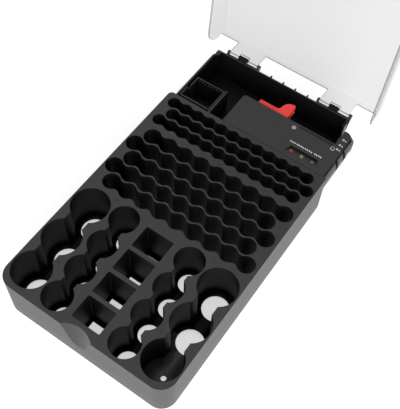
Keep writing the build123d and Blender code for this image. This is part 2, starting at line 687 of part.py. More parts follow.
def make_tester_top():
    lip = DECK_Z - SIDE_DROP
    top = prism(tester_plan(), SEAM_Z + SEAM, DECK_Z)
    # the right side slopes in from the lip to the edge of the flat top
    r = (SHARP, SHARP, JAW_CORNER, SHARP)
    x0, y0 = TESTER_X - 5, TESTER_Y0 - 5
    low = outline(x0, TESTER_X1, y0, JAW_Y, r, lip)
    high = outline(x0, TOP_X1, y0, JAW_Y - SIDE_SLOPE / 2, r, DECK_Z)
    top &= loft([low, high], ruled=True) + block(x0, TESTER_X1 + 1, y0, JAW_Y + 1, SEAM_Z, lip)
    top -= prism(tester_plan(TESTER_WALL, SIDE_SLOPE - 1), SEAM_Z - 1, DECK_Z - TESTER_WALL)
    # groove between the flat top and the slope
    top -= block(TOP_X1, TOP_X1 + SIDE_GROOVE_W, TESTER_Y0 + SHARP, JAW_Y - JAW_CORNER,
                 DECK_Z - SIDE_GROOVE_DEEP, DECK_Z + 1)
    # pocket of the three lamps, whose floor is as thick as its skin
    plan = pocket_plan()
    top += prism(plan, DECK_Z - POCKET_DEEP - POCKET_SKIN, DECK_Z - TESTER_WALL / 2)
    ramp = [(LED_Y - POCKET_FRONT, DECK_Z), (LED_Y + POCKET_BACK, DECK_Z - POCKET_DEEP),
            (LED_Y + POCKET_BACK, DECK_Z + 1), (LED_Y - POCKET_FRONT, DECK_Z + 1)]
    top -= side_profile(ramp, TESTER_X, TESTER_X1) & prism(plan, DECK_Z - POCKET_DEEP - 1, DECK_Z + 1)
    for x in LED_X:
        top -= post(x, LED_Y, DECK_Z - POCKET_DEEP - 2 * POCKET_SKIN, DECK_Z + 1, LED_R + LED_PLAY)
    for x in (RIVET_X, EYELET_X):
        top -= post(x, CONTACT_Y, DECK_Z - 2 * TESTER_WALL, DECK_Z + 1, CONTACT_PIN + LED_PLAY)
    # double groove along the rear edge, between the two contacts
    for back in GROOVES_BACK:
        y = TESTER_Y1 - back
        top -= block(RIVET_X + 2 * CONTACT_R, EYELET_X - CONTACT_R, y - GROOVE_W / 2, y + GROOVE_W / 2,
                     DECK_Z - GROOVE_DEEP, DECK_Z + 1)
    # window in the rear wall for the slider's neck
    neck0, neck1, neck_z0, neck_z1 = slider_neck()
    top -= block(neck0 - TRAVEL_OUT - RUN_GAP, neck1 + TRAVEL_IN + RUN_GAP, TESTER_Y1 - 2 * TESTER_WALL,
                 TESTER_Y1 + 1, neck_z0 - RUN_GAP, neck_z1 + RUN_GAP)
    for y in NINE_SLOTS:
        top -= nine_slot(y, SEAM_Z - 1, DECK_Z - TESTER_WALL + RUN_GAP)
    for x, y in screw_places():
        top += post(x, y, SEAM_Z + SEAM, DECK_Z - TESTER_WALL / 2, POST_R)
        top -= post(x, y, SEAM_Z - 1, DECK_Z - 2 * TESTER_WALL, SCREW_R)
    return top


def make_tester_base():
    floor = TESTER_Z0 + TESTER_WALL
    base = prism(tester_plan(), TESTER_Z0, SEAM_Z)
    base -= prism(tester_plan(TESTER_WALL, SIDE_SLOPE - 1), floor, SEAM_Z + 1)
    for y in NINE_SLOTS:
        base -= nine_slot(y, floor + 2 * METAL, SEAM_Z + 1)
    for x, y in screw_places():
        base += post(x, y, TESTER_Z0 + 1, SEAM_Z, POST_R + SHARP)
        base -= post(x, y, TESTER_Z0 - 1, SEAM_Z + 1, SCREW_R + SCREW_PLAY)
        base -= post(x, y, TESTER_Z0 - 1, TESTER_Z0 + SCREW_SINK + SCREW_HEAD_H, SCREW_HEAD_R + SCREW_PLAY)
    # two ribs that the circuit board lies on
    for x in (BOARD_X0 + 4, BOARD_X1 - 6):
        base += block(x, x + TESTER_WALL, TESTER_Y0 + TESTER_WALL / 2, BOARD_Y0 + BOARD_D - 2,
                      TESTER_Z0 + TESTER_WALL / 2, BOARD_Z0)
    return base


def make_screws():
    group = []
    for x, y in screw_places():
        under = TESTER_Z0 + SCREW_SINK
        head = post(x, y, under, under + SCREW_HEAD_H, SCREW_HEAD_R)
        head -= Pos(x, y, under) * Box(1.5 * SCREW_HEAD_R, 0.6, SCREW_HEAD_H)
        tip = DECK_Z - 2 * TESTER_WALL - SEAM
        group += (head + post(x, y, under + SCREW_HEAD_H / 2, tip, SCREW_R)).solids()
    return Compound(children=group)


# ================================================================ inside the tester
def leg_places(x):
    return [x - LEG_SPACING / 2, x + LEG_SPACING / 2]


def make_board():
    board = block(BOARD_X0, BOARD_X1, BOARD_Y0, BOARD_Y0 + BOARD_D, BOARD_Z0, BOARD_Z1)
    for x in LED_X:
        for leg in leg_places(x):
            board -= Pos(leg, LED_Y, BOARD_Z0) * Box(LEG_HOLE, LEG_HOLE, 4 * BOARD_T)
    return board


def make_components():
    """Three resistors and a flat chip, standing on the board."""
    group = []
    y = BOARD_Y0 + 2 * BOARD_D / 3
    axis_z = BOARD_Z1 + RESISTOR_R + 0.1
    for i in range(3):
        x = BOARD_X0 + (i + 1.5) * RESISTOR_PITCH
        section = Rot(90, 0, 0) * RegularPolygon(RESISTOR_R, ROUND // 2)
        body = Pos(x, y, axis_z) * extrude(section, RESISTOR_L / 2, both=True)
        body += Pos(x, y, axis_z) * Box(LEG_T, RESISTOR_LEADS, LEG_T)
        for end in (-1, 1):
            leg_y = y + end * (RESISTOR_LEADS - LEG_T) / 2
            body += Pos(x, leg_y, (BOARD_Z1 + axis_z) / 2) * Box(LEG_T, LEG_T, axis_z - BOARD_Z1)
        group += body.solids()
    chip = Pos(BOARD_X0 + 2 * BOARD_L / 3, y, BOARD_Z1 + CHIP_H / 2) * Box(CHIP_L, CHIP_D, CHIP_H)
    return Compound(children=group + chip.solids())


def make_led(x):
    """Lamp with a collar and a rounded top, on two legs."""
    collar = BOARD_Z1 + COLLAR_RISE
    led = post(x, LED_Y, collar, DECK_Z + LED_PROUD, LED_R)
    led = chamfer(led.edges().group_by(Axis.Z)[-1], LED_R * 0.4)
    led += post(x, LED_Y, collar, collar + COLLAR_T, LED_R + COLLAR_OUT)
    foot, half = BOARD_Z0 - LEG_T, LEG_T / 2
    for leg in leg_places(x):
        led += block(leg - half, leg + half, LED_Y - half, LED_Y + half, foot, collar + COLLAR_T / 2)
    return led


# ================================================================ red slider
def slider_neck():
    """Ends and heights of the neck that joins the slider to its carriage inside the tester."""
    middle = (SLIDER_X0 + SLIDER_X1 - SLIDER_TAB) / 2
    z1 = DECK_Z - TESTER_WALL - 0.2
    return middle - CARRIAGE_L / 2, middle + CARRIAGE_L / 2, z1 - 3.0, z1


def make_slider():
    arm_y = SLIDER_Y0 + SLIDER_ARM
    tab_x = SLIDER_X1 - SLIDER_TAB
    inner, outer, tip = 4.5, 5.0, 1.5
    plan = [
        Edge.make_line((SLIDER_X0, SLIDER_Y0), (SLIDER_X1, SLIDER_Y0)),
        Edge.make_line((SLIDER_X1, SLIDER_Y0), (SLIDER_X1, SLIDER_Y1 - tip)),
        corner(SLIDER_X1 - tip, SLIDER_Y1 - tip, tip, 0),
        Edge.make_line((SLIDER_X1 - tip, SLIDER_Y1), (tab_x + outer, SLIDER_Y1)),
        corner(tab_x + outer, SLIDER_Y1 - outer, outer, 90),
        Edge.make_line((tab_x, SLIDER_Y1 - outer), (tab_x, arm_y + inner)),
        hollow_corner(tab_x - inner, arm_y + inner, inner),
        Edge.make_line((tab_x - inner, arm_y), (SLIDER_X0, arm_y)),
        Edge.make_line((SLIDER_X0, arm_y), (SLIDER_X0, SLIDER_Y0)),
    ]
    body = prism(Face(Wire(plan)), SLIDER_Z0, SLIDER_Z1)
    body += block(SLIDER_X1 - SLIDER_T, SLIDER_X1, SLIDER_Y0, SLIDER_Y1 - tip, JAW_PLATE_Z, SLIDER_Z1 - 1)
    count = int((SLIDER_L - SLIDER_TAB - inner) / GRIP_PITCH)
    for i in range(count):
        x = SLIDER_X0 + GRIP_PITCH * (i + 0.6)
        body += block(x, x + GRIP_T, SLIDER_Y0 + GRIP_EDGE, arm_y - GRIP_EDGE, SLIDER_Z1 - 1,
                      SLIDER_Z1 + GRIP_H)
    x0, x1, z0, z1 = slider_neck()
    carriage_y = CARRIAGE_Y1 - CARRIAGE_D
    body += block(x0, x1, CARRIAGE_Y1 - 1, SLIDER_Y0 + 1, z0, z1)
    body += block(x0, x1, carriage_y, CARRIAGE_Y1, WIPER_Z, z1)
    return body


def hollow_corner(cx, cy, r):
    """Quarter circle that turns inwards, from its right end to its lowest point."""
    k = r * math.sqrt(0.5)
    return arc((cx + r, cy), (cx + k, cy - k), (cx, cy - r))


def make_slider_contact():
    """Metal strip on the moving jaw, folded under it."""
    y0, y1 = SLIDER_Y0 + 1.4, SLIDER_Y1 - 1.7
    strip = block(SLIDER_X1, SLIDER_X1 + METAL, y0, y1, JAW_PLATE_Z - METAL, JAW_PLATE_Z + 3.6)
    return strip + block(SLIDER_X1 - SLIDER_T, SLIDER_X1 + METAL, y0, y1, JAW_PLATE_Z - METAL, JAW_PLATE_Z)


def make_wiper():
    """Bent strip under the carriage, whose tip rubs on the contact rail."""
    x0, x1, z0, z1 = slider_neck()
    y0, y1 = CARRIAGE_Y1 - CARRIAGE_D + 1.0, CARRIAGE_Y1 - 1.0
    bend, tip = x1 - 2.0, x1 + WIPER_REACH
    low = RAIL_Z + METAL + 0.1
    section = Polyline((x0 + 2, y0, WIPER_Z - METAL), (bend, y0, WIPER_Z - METAL), (tip, y0, low),
                       (tip, y0, low + METAL), (bend, y0, WIPER_Z), (x0 + 2, y0, WIPER_Z), close=True)
    return extrude(make_face(section), y1 - y0, dir=(0, 1, 0))


def make_rail():
    """Strip on the floor of the housing, under the whole travel of the wiper's tip."""
    x0, x1, z0, z1 = slider_neck()
    tip = x1 + WIPER_REACH
    y0, y1 = CARRIAGE_Y1 - CARRIAGE_D + RAIL_SPARE, CARRIAGE_Y1 - RAIL_SPARE
    return block(tip - TRAVEL_OUT - METAL - RAIL_SPARE, tip + TRAVEL_IN + RAIL_SPARE, y0, y1, RAIL_Z,
                 RAIL_Z + METAL)


def make_jaw_contact():
    """Plate on the inner face of the fixed jaw."""
    return block(JAW_X - METAL, JAW_X, TESTER_Y1 + STRIP_EDGE, JAW_Y - STRIP_EDGE, TESTER_Z0 + STRIP_EDGE,
                 DECK_Z - STRIP_EDGE)


def make_side_contact():
    """Plate let down the right side, behind the two slots."""
    y0 = TESTER_Y1 + 0.8
    return block(TESTER_X1, TESTER_X1 + METAL, y0, y0 + SIDE_CONTACT_W, SEAM_Z - SIDE_CONTACT_H, SEAM_Z)


def make_rivet(hole):
    """Contact let into the flat top; with a hole it is the ring contact."""
    x = EYELET_X if hole else RIVET_X
    head = post(x, CONTACT_Y, DECK_Z, DECK_Z + CONTACT_PROUD, CONTACT_R)
    head = chamfer(head.edges().group_by(Axis.Z)[-1], CONTACT_PROUD / 2)
    rivet = head + post(x, CONTACT_Y, DECK_Z - TESTER_WALL - 0.8, DECK_Z + 0.1, CONTACT_PIN)
    if hole:
        rivet -= post(x, CONTACT_Y, DECK_Z - 5, DECK_Z + 1, EYELET_HOLE)
    return rivet


def make_nine_contact(y):
    """Spring leaf at the back of one slot, bowed out towards the battery."""
    x = TESTER_X1 - NINE_SLOT_DEEP
    half = NINE_SLOT_W / 2 - 0.5
    low, high = RAIL_Z + 3 * METAL, DECK_Z - TESTER_WALL - 0.4
    leaf = block(x, x + METAL, y - half, y + half, low, high)
    bow = Pos(x + METAL / 2, y, (low + high) / 2) * Rot(90, 0, 0) * Cylinder(1.6, 2 * half)
    return leaf + (bow & block(x + METAL / 2, x + 3, y - half, y + half, low, high))


# ================================================================ every node
save(make_tray(), "tray")
save(make_cover(), "cover")
save(make_coin_box(), "coin_box")
save(make_tester_top(), "tester_top")
save(make_tester_base(), "tester_base")
save(make_screws(), "tester_screws")
save(make_board(), "circuit_board")
save(make_components(), "board_components")
for led_x, led_name in zip(LED_X, LED_NAMES):
    save(make_led(led_x), led_name)
save(make_slider(), "slider")
save(make_slider_contact(), "slider_contact")
save(make_wiper(), "slider_wiper")
save(make_rail(), "contact_rail")
save(make_jaw_contact(), "jaw_contact")
save(make_side_contact(), "side_contact")
save(make_rivet(False), "button_contact")
save(make_rivet(True), "eyelet_contact")
for slot_y, where in zip(NINE_SLOTS, ("front", "rear")):
    save(make_nine_contact(slot_y), "nine_volt_contact_" + where)
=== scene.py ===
"""Battery organiser: a deep black tray of wells, with a coin-cell box and a lift-out tester behind
them, and a clear hinged cover that stands open.

Lengths are millimetres until a mesh is made.  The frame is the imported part's own.
"""
import bpy
import math
from mathutils import Matrix, Vector
from mathutils.geometry import delaunay_2d_cdt


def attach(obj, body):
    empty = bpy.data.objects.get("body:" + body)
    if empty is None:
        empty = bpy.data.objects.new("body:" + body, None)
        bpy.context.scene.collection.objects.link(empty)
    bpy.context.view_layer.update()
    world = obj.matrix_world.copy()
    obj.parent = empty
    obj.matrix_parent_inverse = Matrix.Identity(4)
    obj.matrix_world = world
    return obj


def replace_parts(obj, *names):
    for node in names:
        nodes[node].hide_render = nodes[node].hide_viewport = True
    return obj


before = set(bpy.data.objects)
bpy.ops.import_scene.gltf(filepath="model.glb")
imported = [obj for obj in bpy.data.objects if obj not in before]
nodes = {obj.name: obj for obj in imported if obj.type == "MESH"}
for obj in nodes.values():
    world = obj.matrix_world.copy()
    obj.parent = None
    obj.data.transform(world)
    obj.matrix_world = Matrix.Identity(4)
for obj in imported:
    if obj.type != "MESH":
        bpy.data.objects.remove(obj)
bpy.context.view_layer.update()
MM = 0.001

# ================================================================ sizes shared with the part
# rows of small wells: radius, pitch, half width of the waist between two wells, wells, rows
AA_R, AA_PITCH, AA_WAIST, AA_COUNT, AA_ROWS = 7.85, 17.0, 4.7, 9, 5
AAA_R, AAA_PITCH, AAA_WAIST, AAA_COUNT, AAA_ROWS = 5.85, 12.72, 3.8, 12, 3
ROW_WALL = 1.95           # between one row and the next
# columns of large wells: radius, pitch, wells, half width of the neck between two wells
C_R, C_PITCH, C_COUNT, C_NECK = 13.0, 28.0, 4, 6.2
D_R, D_PITCH, D_COUNT, D_NECK = 16.9, 36.45, 3, 9.2
NINE_W, NINE_D, NINE_PITCH, NINE_COUNT, NINE_CORNER = 27.0, 21.0, 25.0, 4, 0.8
# how far behind the front wall the first well of each kind stands, and how far to the side
AA_START, AAA_START, C_START, D_START, NINE_START = 124.1, 200.9, 16.4, 22.0, 20.5
AA_MIDDLE, AAA_MIDDLE, C_X, D_X = -1.0, 1.7, 32.9, 64.0
# holes in the floors: the rim left round a hole, or half the size of a hole
C_RIM, D_RIM, PIN_HOLE_R = 3.8, 5.0, 2.4
NINE_HOLE_X, NINE_HOLE_Y, AA_SLOT, AAA_SLOT = 11.3, 7.2, 3.0, 2.25
HALF_W = 82.3
FRONT_Y, BODY_Y, REAR_Y = -149.05, 84.55, 149.05
DECK_Z, DECK_T = 46.0, 2.2
FOOT, FLOOR_TOP = 2.5, 4.5
SKIN, WELL_SKIN = 2.0, 1.3
RECESS_Z, RECESS_X0, RECESS_X1, RECESS_CORNER = 18.8, -76.6, 67.7, 5.5
SEAT_Z = 30.8             # walls and ribs that the tester stands on
FLANGE_Y = 153.05
HINGE_X, HINGE_Y, HINGE_Z = 49.2, 156.05, 45.5
TESTER_Y1, JAW_Y = 121.15, 140.45

# ================================================================ plans
WAVE_STEPS = 8            # stretches to each arc of a wave


def arc_points(cx, cy, r, a0, a1, steps):
    pts = []
    for k in range(steps + 1):
        a = a0 + (a1 - a0) * k / steps
        pts.append((cx + r * math.cos(a), cy + r * math.sin(a)))
    return pts


def disc(x, y, r, steps=56):
    return arc_points(x, y, r, 0.0, 2 * math.pi, steps)[:-1]


def box_plan(x0, x1, y0, y1, radii=(0, 0, 0, 0), steps=8):
    """Rectangle, with a radius for each corner: front left, front right, back right, back left."""
    pts = []
    corners = [(x0, y0, 1, 1), (x1, y0, -1, 1), (x1, y1, -1, -1), (x0, y1, 1, -1)]
    for i, ((x, y, sx, sy), r) in enumerate(zip(corners, radii)):
        if r <= 0:
            pts.append((x, y))
        else:
            start = math.pi + i * math.pi / 2
            pts += arc_points(x + sx * r, y + sy * r, r, start, start + math.pi / 2, steps)
    return pts


def wavy_row(middle, y, radius, pitch, count, waist):
    """Row of round wells that run into each other, joined by arcs that touch the lobes."""
    half = pitch / 2
    bulge = (half ** 2 + waist ** 2 - radius ** 2) / (2 * (radius - waist))
    rise = waist + bulge
    turn = math.atan2(rise, half)
    last = count - 1
    rear = []
    for i in range(count):
        x = middle + (i - last / 2) * pitch
        start = math.pi if i == 0 else math.pi - turn
        end = 0.0 if i == last else turn
        steps = 2 * WAVE_STEPS if i in (0, last) else WAVE_STEPS
        rear += arc_points(x, 0, radius, start, end, steps)
        if i < last:
            rear += arc_points(x + half, rise, bulge, turn - math.pi, -turn, WAVE_STEPS)[1:-1]
    front = [(x, -dy) for x, dy in reversed(rear[1:-1])]
    return [(x, y + dy) for x, dy in rear + front]


def row_places(start, rows, row_pitch, middle, pitch, first_side):
    """Middles of rows that step half a well from side to side."""
    places = []
    for i in range(rows):
        side = first_side if i % 2 == 0 else -first_side
        places.append((middle + side * pitch / 4, FRONT_Y + start + i * row_pitch))
    return places


def spots(front, pitch, count):
    return [FRONT_Y + front + i * pitch for i in range(count)]


AA_PLACES = row_places(AA_START, AA_ROWS, AA_R + AA_WAIST + ROW_WALL, AA_MIDDLE, AA_PITCH, 1)
AAA_PLACES = row_places(AAA_START, AAA_ROWS, AAA_R + AAA_WAIST + ROW_WALL, AAA_MIDDLE, AAA_PITCH, -1)
C_Y = spots(C_START, C_PITCH, C_COUNT)
D_Y = spots(D_START, D_PITCH, D_COUNT)
NINE_Y = spots(NINE_START, NINE_PITCH, NINE_COUNT)


def column(x, ys, radius, neck):
    """Polygons of a column of round wells with a straight-sided neck between them."""
    wells = [disc(x, y, radius) for y in ys]
    return wells + [box_plan(x - neck, x + neck, ys[0], ys[-1])]


def well_plans():
    plans = [wavy_row(m, y, AA_R, AA_PITCH, AA_COUNT, AA_WAIST) for m, y in AA_PLACES]
    plans += [wavy_row(m, y, AAA_R, AAA_PITCH, AAA_COUNT, AAA_WAIST) for m, y in AAA_PLACES]
    for side in (-1, 1):
        plans += column(side * D_X, D_Y, D_R, D_NECK)
        plans += column(side * C_X, C_Y, C_R, C_NECK)
    half_w, half_d = NINE_W / 2, NINE_D / 2
    for y in NINE_Y:
        plans.append(box_plan(-half_w, half_w, y - half_d, y + half_d, (NINE_CORNER,) * 4, 3))
    return plans


def skirt_plans():
    """What the walls of the wells fill below the deck, a wall's thickness wider than the wells."""
    plans = []
    for places, r, pitch, count in ((AA_PLACES, AA_R, AA_PITCH, AA_COUNT),
                                    (AAA_PLACES, AAA_R, AAA_PITCH, AAA_COUNT)):
        reach = (count - 1) * pitch / 2 + r + WELL_SKIN
        middles = [m for m, y in places]
        plans.append(box_plan(min(middles) - reach, max(middles) + reach,
                              places[0][1] - r - WELL_SKIN, places[-1][1] + r + WELL_SKIN))
    for side in (-1, 1):
        plans += column(side * D_X, D_Y, D_R + WELL_SKIN, D_NECK + WELL_SKIN)
        plans += column(side * C_X, C_Y, C_R + WELL_SKIN, C_NECK + WELL_SKIN)
    out = NINE_W / 2 + WELL_SKIN
    deep = NINE_D / 2 + WELL_SKIN
    for y in NINE_Y:
        plans.append(box_plan(-out, out, y - deep, y + deep))
    return plans


def hole_plans():
    """Holes in the floors, each smaller than its well."""
    plans = []
    for side in (-1, 1):
        plans += [disc(side * C_X, y, C_R - C_RIM) for y in C_Y]
        for y in D_Y:
            closed_one = side == 1 and y == D_Y[0]
            plans.append(disc(side * D_X, y, PIN_HOLE_R if closed_one else D_R - D_RIM))
    for y in NINE_Y:
        plans.append(box_plan(-NINE_HOLE_X, NINE_HOLE_X, y - NINE_HOLE_Y, y + NINE_HOLE_Y))
    for places, pitch, count, slot in ((AA_PLACES, AA_PITCH, AA_COUNT, AA_SLOT),
                                       (AAA_PLACES, AAA_PITCH, AAA_COUNT, AAA_SLOT)):
        reach = (count - 1) / 2 * pitch
        plans += [box_plan(m - reach, m + reach, y - slot, y + slot) for m, y in places]
    return plans


def area(loop):
    return sum(a[0] * b[1] - b[0] * a[1] for a, b in zip(loop, loop[1:] + loop[:1])) / 2


def triangles(loops):
    """Delaunay triangles of a plan, each with the list of the loops that hold it."""
    pts, faces = [], []
    for loop in loops:
        first = len(pts)
        pts += [Vector(p) for p in loop]
        order = list(range(first, first + len(loop)))
        faces.append(order if area(loop) > 0 else order[::-1])
    verts, _, tris, _, _, holders = delaunay_2d_cdt(pts, [], faces, 1, 1e-5)
    plan = []
    for tri, held in zip(tris, holders):
        p = [tuple(verts[i]) for i in tri]
        plan.append((tri if area(p) > 0 else tri[::-1], held))
    return [tuple(v) for v in verts], plan


def region(keep, **kinds):
    """Outlines, with the material on their left, of the part of the plan that keep accepts."""
    loops, kind_of = [], []
    for kind, some in kinds.items():
        loops += some
        kind_of += [kind] * len(some)
    verts, plan = triangles(loops)
    sides = set()
    for tri, held in plan:
        if keep({kind_of[i] for i in held}):
            for a, b in zip(tri, tri[1:] + tri[:1]):
                sides.add((a, b))
    following = {a: b for a, b in sides if (b, a) not in sides}
    outlines = []
    while following:
        first, at = following.popitem()
        ring = [first]
        while at != first:
            ring.append(at)
            at = following.pop(at)
        outlines.append([verts[i] for i in ring])
    return outlines


def inset(loop, d):
    """The outline moved to its left, into the material, by d."""
    if d == 0:
        return loop
    moved = []
    for i, p in enumerate(loop):
        a, b = Vector(loop[i - 1]), Vector(loop[(i + 1) % len(loop)])
        before, after = (Vector(p) - a).normalized(), (b - Vector(p)).normalized()
        left = Vector((-before.y - after.y, before.x + after.x))
        mitre = left / max(left.length_squared / 2, 0.5)
        moved.append((p[0] + mitre.x * d, p[1] + mitre.y * d))
    return moved


# ================================================================ mesh of a moulded piece
WELD = 0.002              # corners nearer than this become one


class Moulding:
    """Vertices and faces of one piece.  Plans lie in XY, or in YZ for a piece drawn along X."""

    def __init__(self):
        self.verts = []
        self.faces = []
        self.kinds = []           # which of the piece's materials each face has

    def add(self, pts, u, along):
        first = len(self.verts)
        for p in pts:
            self.verts.append((p[0], p[1], u) if along == "z" else (u, p[0], p[1]))
        return first

    def flat(self, loops, z, up=True, along="z"):
        """Face over a plan: what lies in one more outer outline than it lies in holes."""
        verts, plan = triangles(loops)
        first = self.add(verts, z, along)
        for tri, held in plan:
            if sum(1 if area(loops[i]) > 0 else -1 for i in held) > 0:
                order = tri if up else tri[::-1]
                self.faces.append([first + i for i in order])
                self.kinds.append(0)

    def rows(self, rows, kind=0):
        """Skin over closed rows of 3-D points, as many in each, given from the top down."""
        first = len(self.verts)
        count = len(rows[0])
        for row in rows:
            self.verts += row
        for k in range(len(rows) - 1):
            above, here = first + k * count, first + (k + 1) * count
            for i in range(count):
                j = (i + 1) % count
                self.faces.append([above + i, here + i, here + j, above + j])
                self.kinds.append(kind)

    def rings(self, rings, along="z"):
        """Walls between outlines of equal length, given with their heights from the top down."""
        if along == "z":
            self.rows([[(x, y, z) for x, y in loop] for loop, z in rings])
        else:
            self.rows([[(x, y, z) for y, z in loop] for loop, x in rings])

    def edge(self, loop, z, r, steps=3):
        """Rings of a rounded upper edge."""
        made = []
        for k in range(steps + 1):
            a = math.pi / 2 * k / steps
            made.append((inset(loop, r * (1 - math.sin(a))), z - r * (1 - math.cos(a))))
        return made

    def prism(self, loops, z0, z1, r=0.0, along="z", both=False):
        """Closed prism over a plan, with its upper edges rounded, or both upper and lower."""
        foot = r if both else 0.0
        for loop in loops:
            levels = self.edge(loop, z1, r) if r else [(loop, z1)]
            if both:
                levels += [(ring, z0 + z1 - z) for ring, z in reversed(self.edge(loop, z1, r))]
            else:
                levels.append((loop, z0))
            self.rings(levels, along)
        self.flat([inset(loop, r) for loop in loops], z1, True, along)
        self.flat([inset(loop, foot) for loop in loops], z0, False, along)

    def turned(self, x, y, profile, steps=32):
        """Body of revolution about a vertical line, from (radius, z) points, top down."""
        self.rings([(disc(x, y, max(r, 1e-3), steps), z) for r, z in profile])

    def finish_by_place(self, kind_at):
        """Gives each face the material that kind_at picks for its middle."""
        for i, face in enumerate(self.faces):
            middle = [sum(self.verts[v][axis] for v in face) / len(face) for axis in range(3)]
            self.kinds[i] = kind_at(*middle)

    def piece(self, name, body, materials, soft=60):
        mesh = bpy.data.meshes.new(name)
        mesh.from_pydata([[c * MM for c in v] for v in self.verts], [], self.faces)
        mesh.polygons.foreach_set("material_index", self.kinds)
        mesh.validate()
        obj = bpy.data.objects.new(name, mesh)
        bpy.context.scene.collection.objects.link(obj)
        weld = obj.modifiers.new("weld", "WELD")
        weld.merge_threshold = WELD * MM
        finish_edges(obj, soft)
        for material in materials:
            mesh.materials.append(material)
        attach(obj, body)
        return obj


def finish_edges(obj, soft):
    """Smooth shading that leaves broad faces flat and keeps corners sharper than soft degrees."""
    obj.data.shade_smooth()
    obj.data.set_sharp_from_angle(angle=math.radians(soft))
    normals = obj.modifiers.new("broad faces flat", "WEIGHTED_NORMAL")
    normals.keep_sharp = True


# ================================================================ how a material is made
MOTTLE = 14.0             # clouds that the flow of the melt leaves in a moulding's tone
GRAIN_DEPTH = 0.05
GRAIN_SHINE, ROLLED_SHINE = 0.05, 0.08    # how much roughness varies over a grain or rolling marks
FLOW, FLOW_DEPTH = 40.0, 0.2      # slow waves in the clear sheet
PLASTIC_IOR, STYRENE_IOR = 1.54, 1.59


def rgb(hex_code):
    """sRGB hex value as linear RGBA."""
    channels = [int(hex_code[i:i + 2], 16) / 255 for i in (1, 3, 5)]
    linear = tuple(c / 12.92 if c <= 0.04045 else ((c + 0.055) / 1.055) ** 2.4 for c in channels)
    return linear + (1.0,)


def node(tree, kind, inputs=(), **settings):
    """Adds a node.  Each input is a socket with its value, which may be another node's output."""
    made = tree.nodes.new(kind)
    for key, value in settings.items():
        setattr(made, key, value)
    for socket, value in inputs:
        if isinstance(value, bpy.types.NodeSocket):
            tree.links.new(value, made.inputs[socket])
        else:
            made.inputs[socket].default_value = value
    return made


def blank(name):
    material = bpy.data.materials.new(name)
    material.use_nodes = True
    tree = material.node_tree
    tree.nodes.clear()
    return material, tree


def mould_grain(tree, place, grain, bump):
    """Pits left by the surface of the mould: their pattern, and the relief that they make."""
    pits = node(tree, "ShaderNodeTexNoise", [
        ("Vector", place), ("Scale", 1 / (grain * MM)), ("Detail", 2.0)])
    relief = node(tree, "ShaderNodeBump", [
        ("Height", pits.outputs["Fac"]), ("Strength", bump), ("Distance", GRAIN_DEPTH * MM)])
    return pits.outputs["Fac"], relief.outputs["Normal"]


def moulded(name, low, high, roughness, grain, bump, specular=0.5):
    """Moulded plastic: a mottled tone, and a fine grain in the surface from the steel mould."""
    material, tree = blank(name)
    place = node(tree, "ShaderNodeTexCoord").outputs["Object"]
    cloud = node(tree, "ShaderNodeTexNoise", [
        ("Vector", place), ("Scale", 1 / (MOTTLE * MM)), ("Detail", 3.0)])
    tone = node(tree, "ShaderNodeMixRGB", [
        ("Fac", cloud.outputs["Fac"]), ("Color1", rgb(low)), ("Color2", rgb(high))])
    pits, relief = mould_grain(tree, place, grain, bump)
    shine = node(tree, "ShaderNodeMapRange", [
        ("Value", pits), ("To Min", roughness - GRAIN_SHINE), ("To Max", roughness + GRAIN_SHINE)])
    shader = node(tree, "ShaderNodeBsdfPrincipled", [
        ("Base Color", tone.outputs["Color"]), ("Normal", relief),
        ("Roughness", shine.outputs["Result"]), ("IOR", PLASTIC_IOR), ("Specular IOR Level", specular)])
    node(tree, "ShaderNodeOutputMaterial", [("Surface", shader.outputs["BSDF"])])
    return material


def metal(name, colour, roughness, marks_apart):
    """Plated metal with fine rolling marks, which vary its shine."""
    material, tree = blank(name)
    place = node(tree, "ShaderNodeTexCoord").outputs["Object"]
    marks = node(tree, "ShaderNodeTexNoise", [
        ("Vector", place), ("Scale", 1 / (marks_apart * MM)), ("Detail", 4.0)])
    shine = node(tree, "ShaderNodeMapRange", [
        ("Value", marks.outputs["Fac"]),
        ("To Min", roughness - ROLLED_SHINE), ("To Max", roughness + ROLLED_SHINE)])
    shader = node(tree, "ShaderNodeBsdfPrincipled", [
        ("Roughness", shine.outputs["Result"]), ("Base Color", rgb(colour)), ("Metallic", 1.0)])
    node(tree, "ShaderNodeOutputMaterial", [("Surface", shader.outputs["BSDF"])])
    return material


def clear_sheet(name, facing, grazing, haze_facing, haze_grazing):
    """Clear plastic: nearly colourless face on, greyer and glossier at a low angle."""
    material, tree = blank(name)
    place = node(tree, "ShaderNodeTexCoord").outputs["Object"]
    flow = node(tree, "ShaderNodeTexNoise", [
        ("Vector", place), ("Scale", 1 / (FLOW * MM)), ("Detail", 1.0)])
    relief = node(tree, "ShaderNodeBump", [
        ("Height", flow.outputs["Fac"]), ("Strength", 0.1), ("Distance", FLOW_DEPTH * MM)])
    angle = node(tree, "ShaderNodeLayerWeight", [("Blend", 0.35)]).outputs["Facing"]
    tint = node(tree, "ShaderNodeMixRGB", [
        ("Fac", angle), ("Color1", rgb(facing)), ("Color2", rgb(grazing))])
    clear = node(tree, "ShaderNodeBsdfTransparent", [("Color", tint.outputs["Color"])])
    body = node(tree, "ShaderNodeBsdfPrincipled", [
        ("Normal", relief.outputs["Normal"]), ("Base Color", rgb("#DCDDDE")), ("Roughness", 0.06),
        ("IOR", STYRENE_IOR)])
    haze = node(tree, "ShaderNodeMapRange", [
        ("Value", angle), ("To Min", haze_facing), ("To Max", haze_grazing)])
    shader = node(tree, "ShaderNodeMixShader", [
        (0, haze.outputs["Result"]), (1, clear.outputs[0]), (2, body.outputs[0])])
    node(tree, "ShaderNodeOutputMaterial", [("Surface", shader.outputs[0])])
    return material


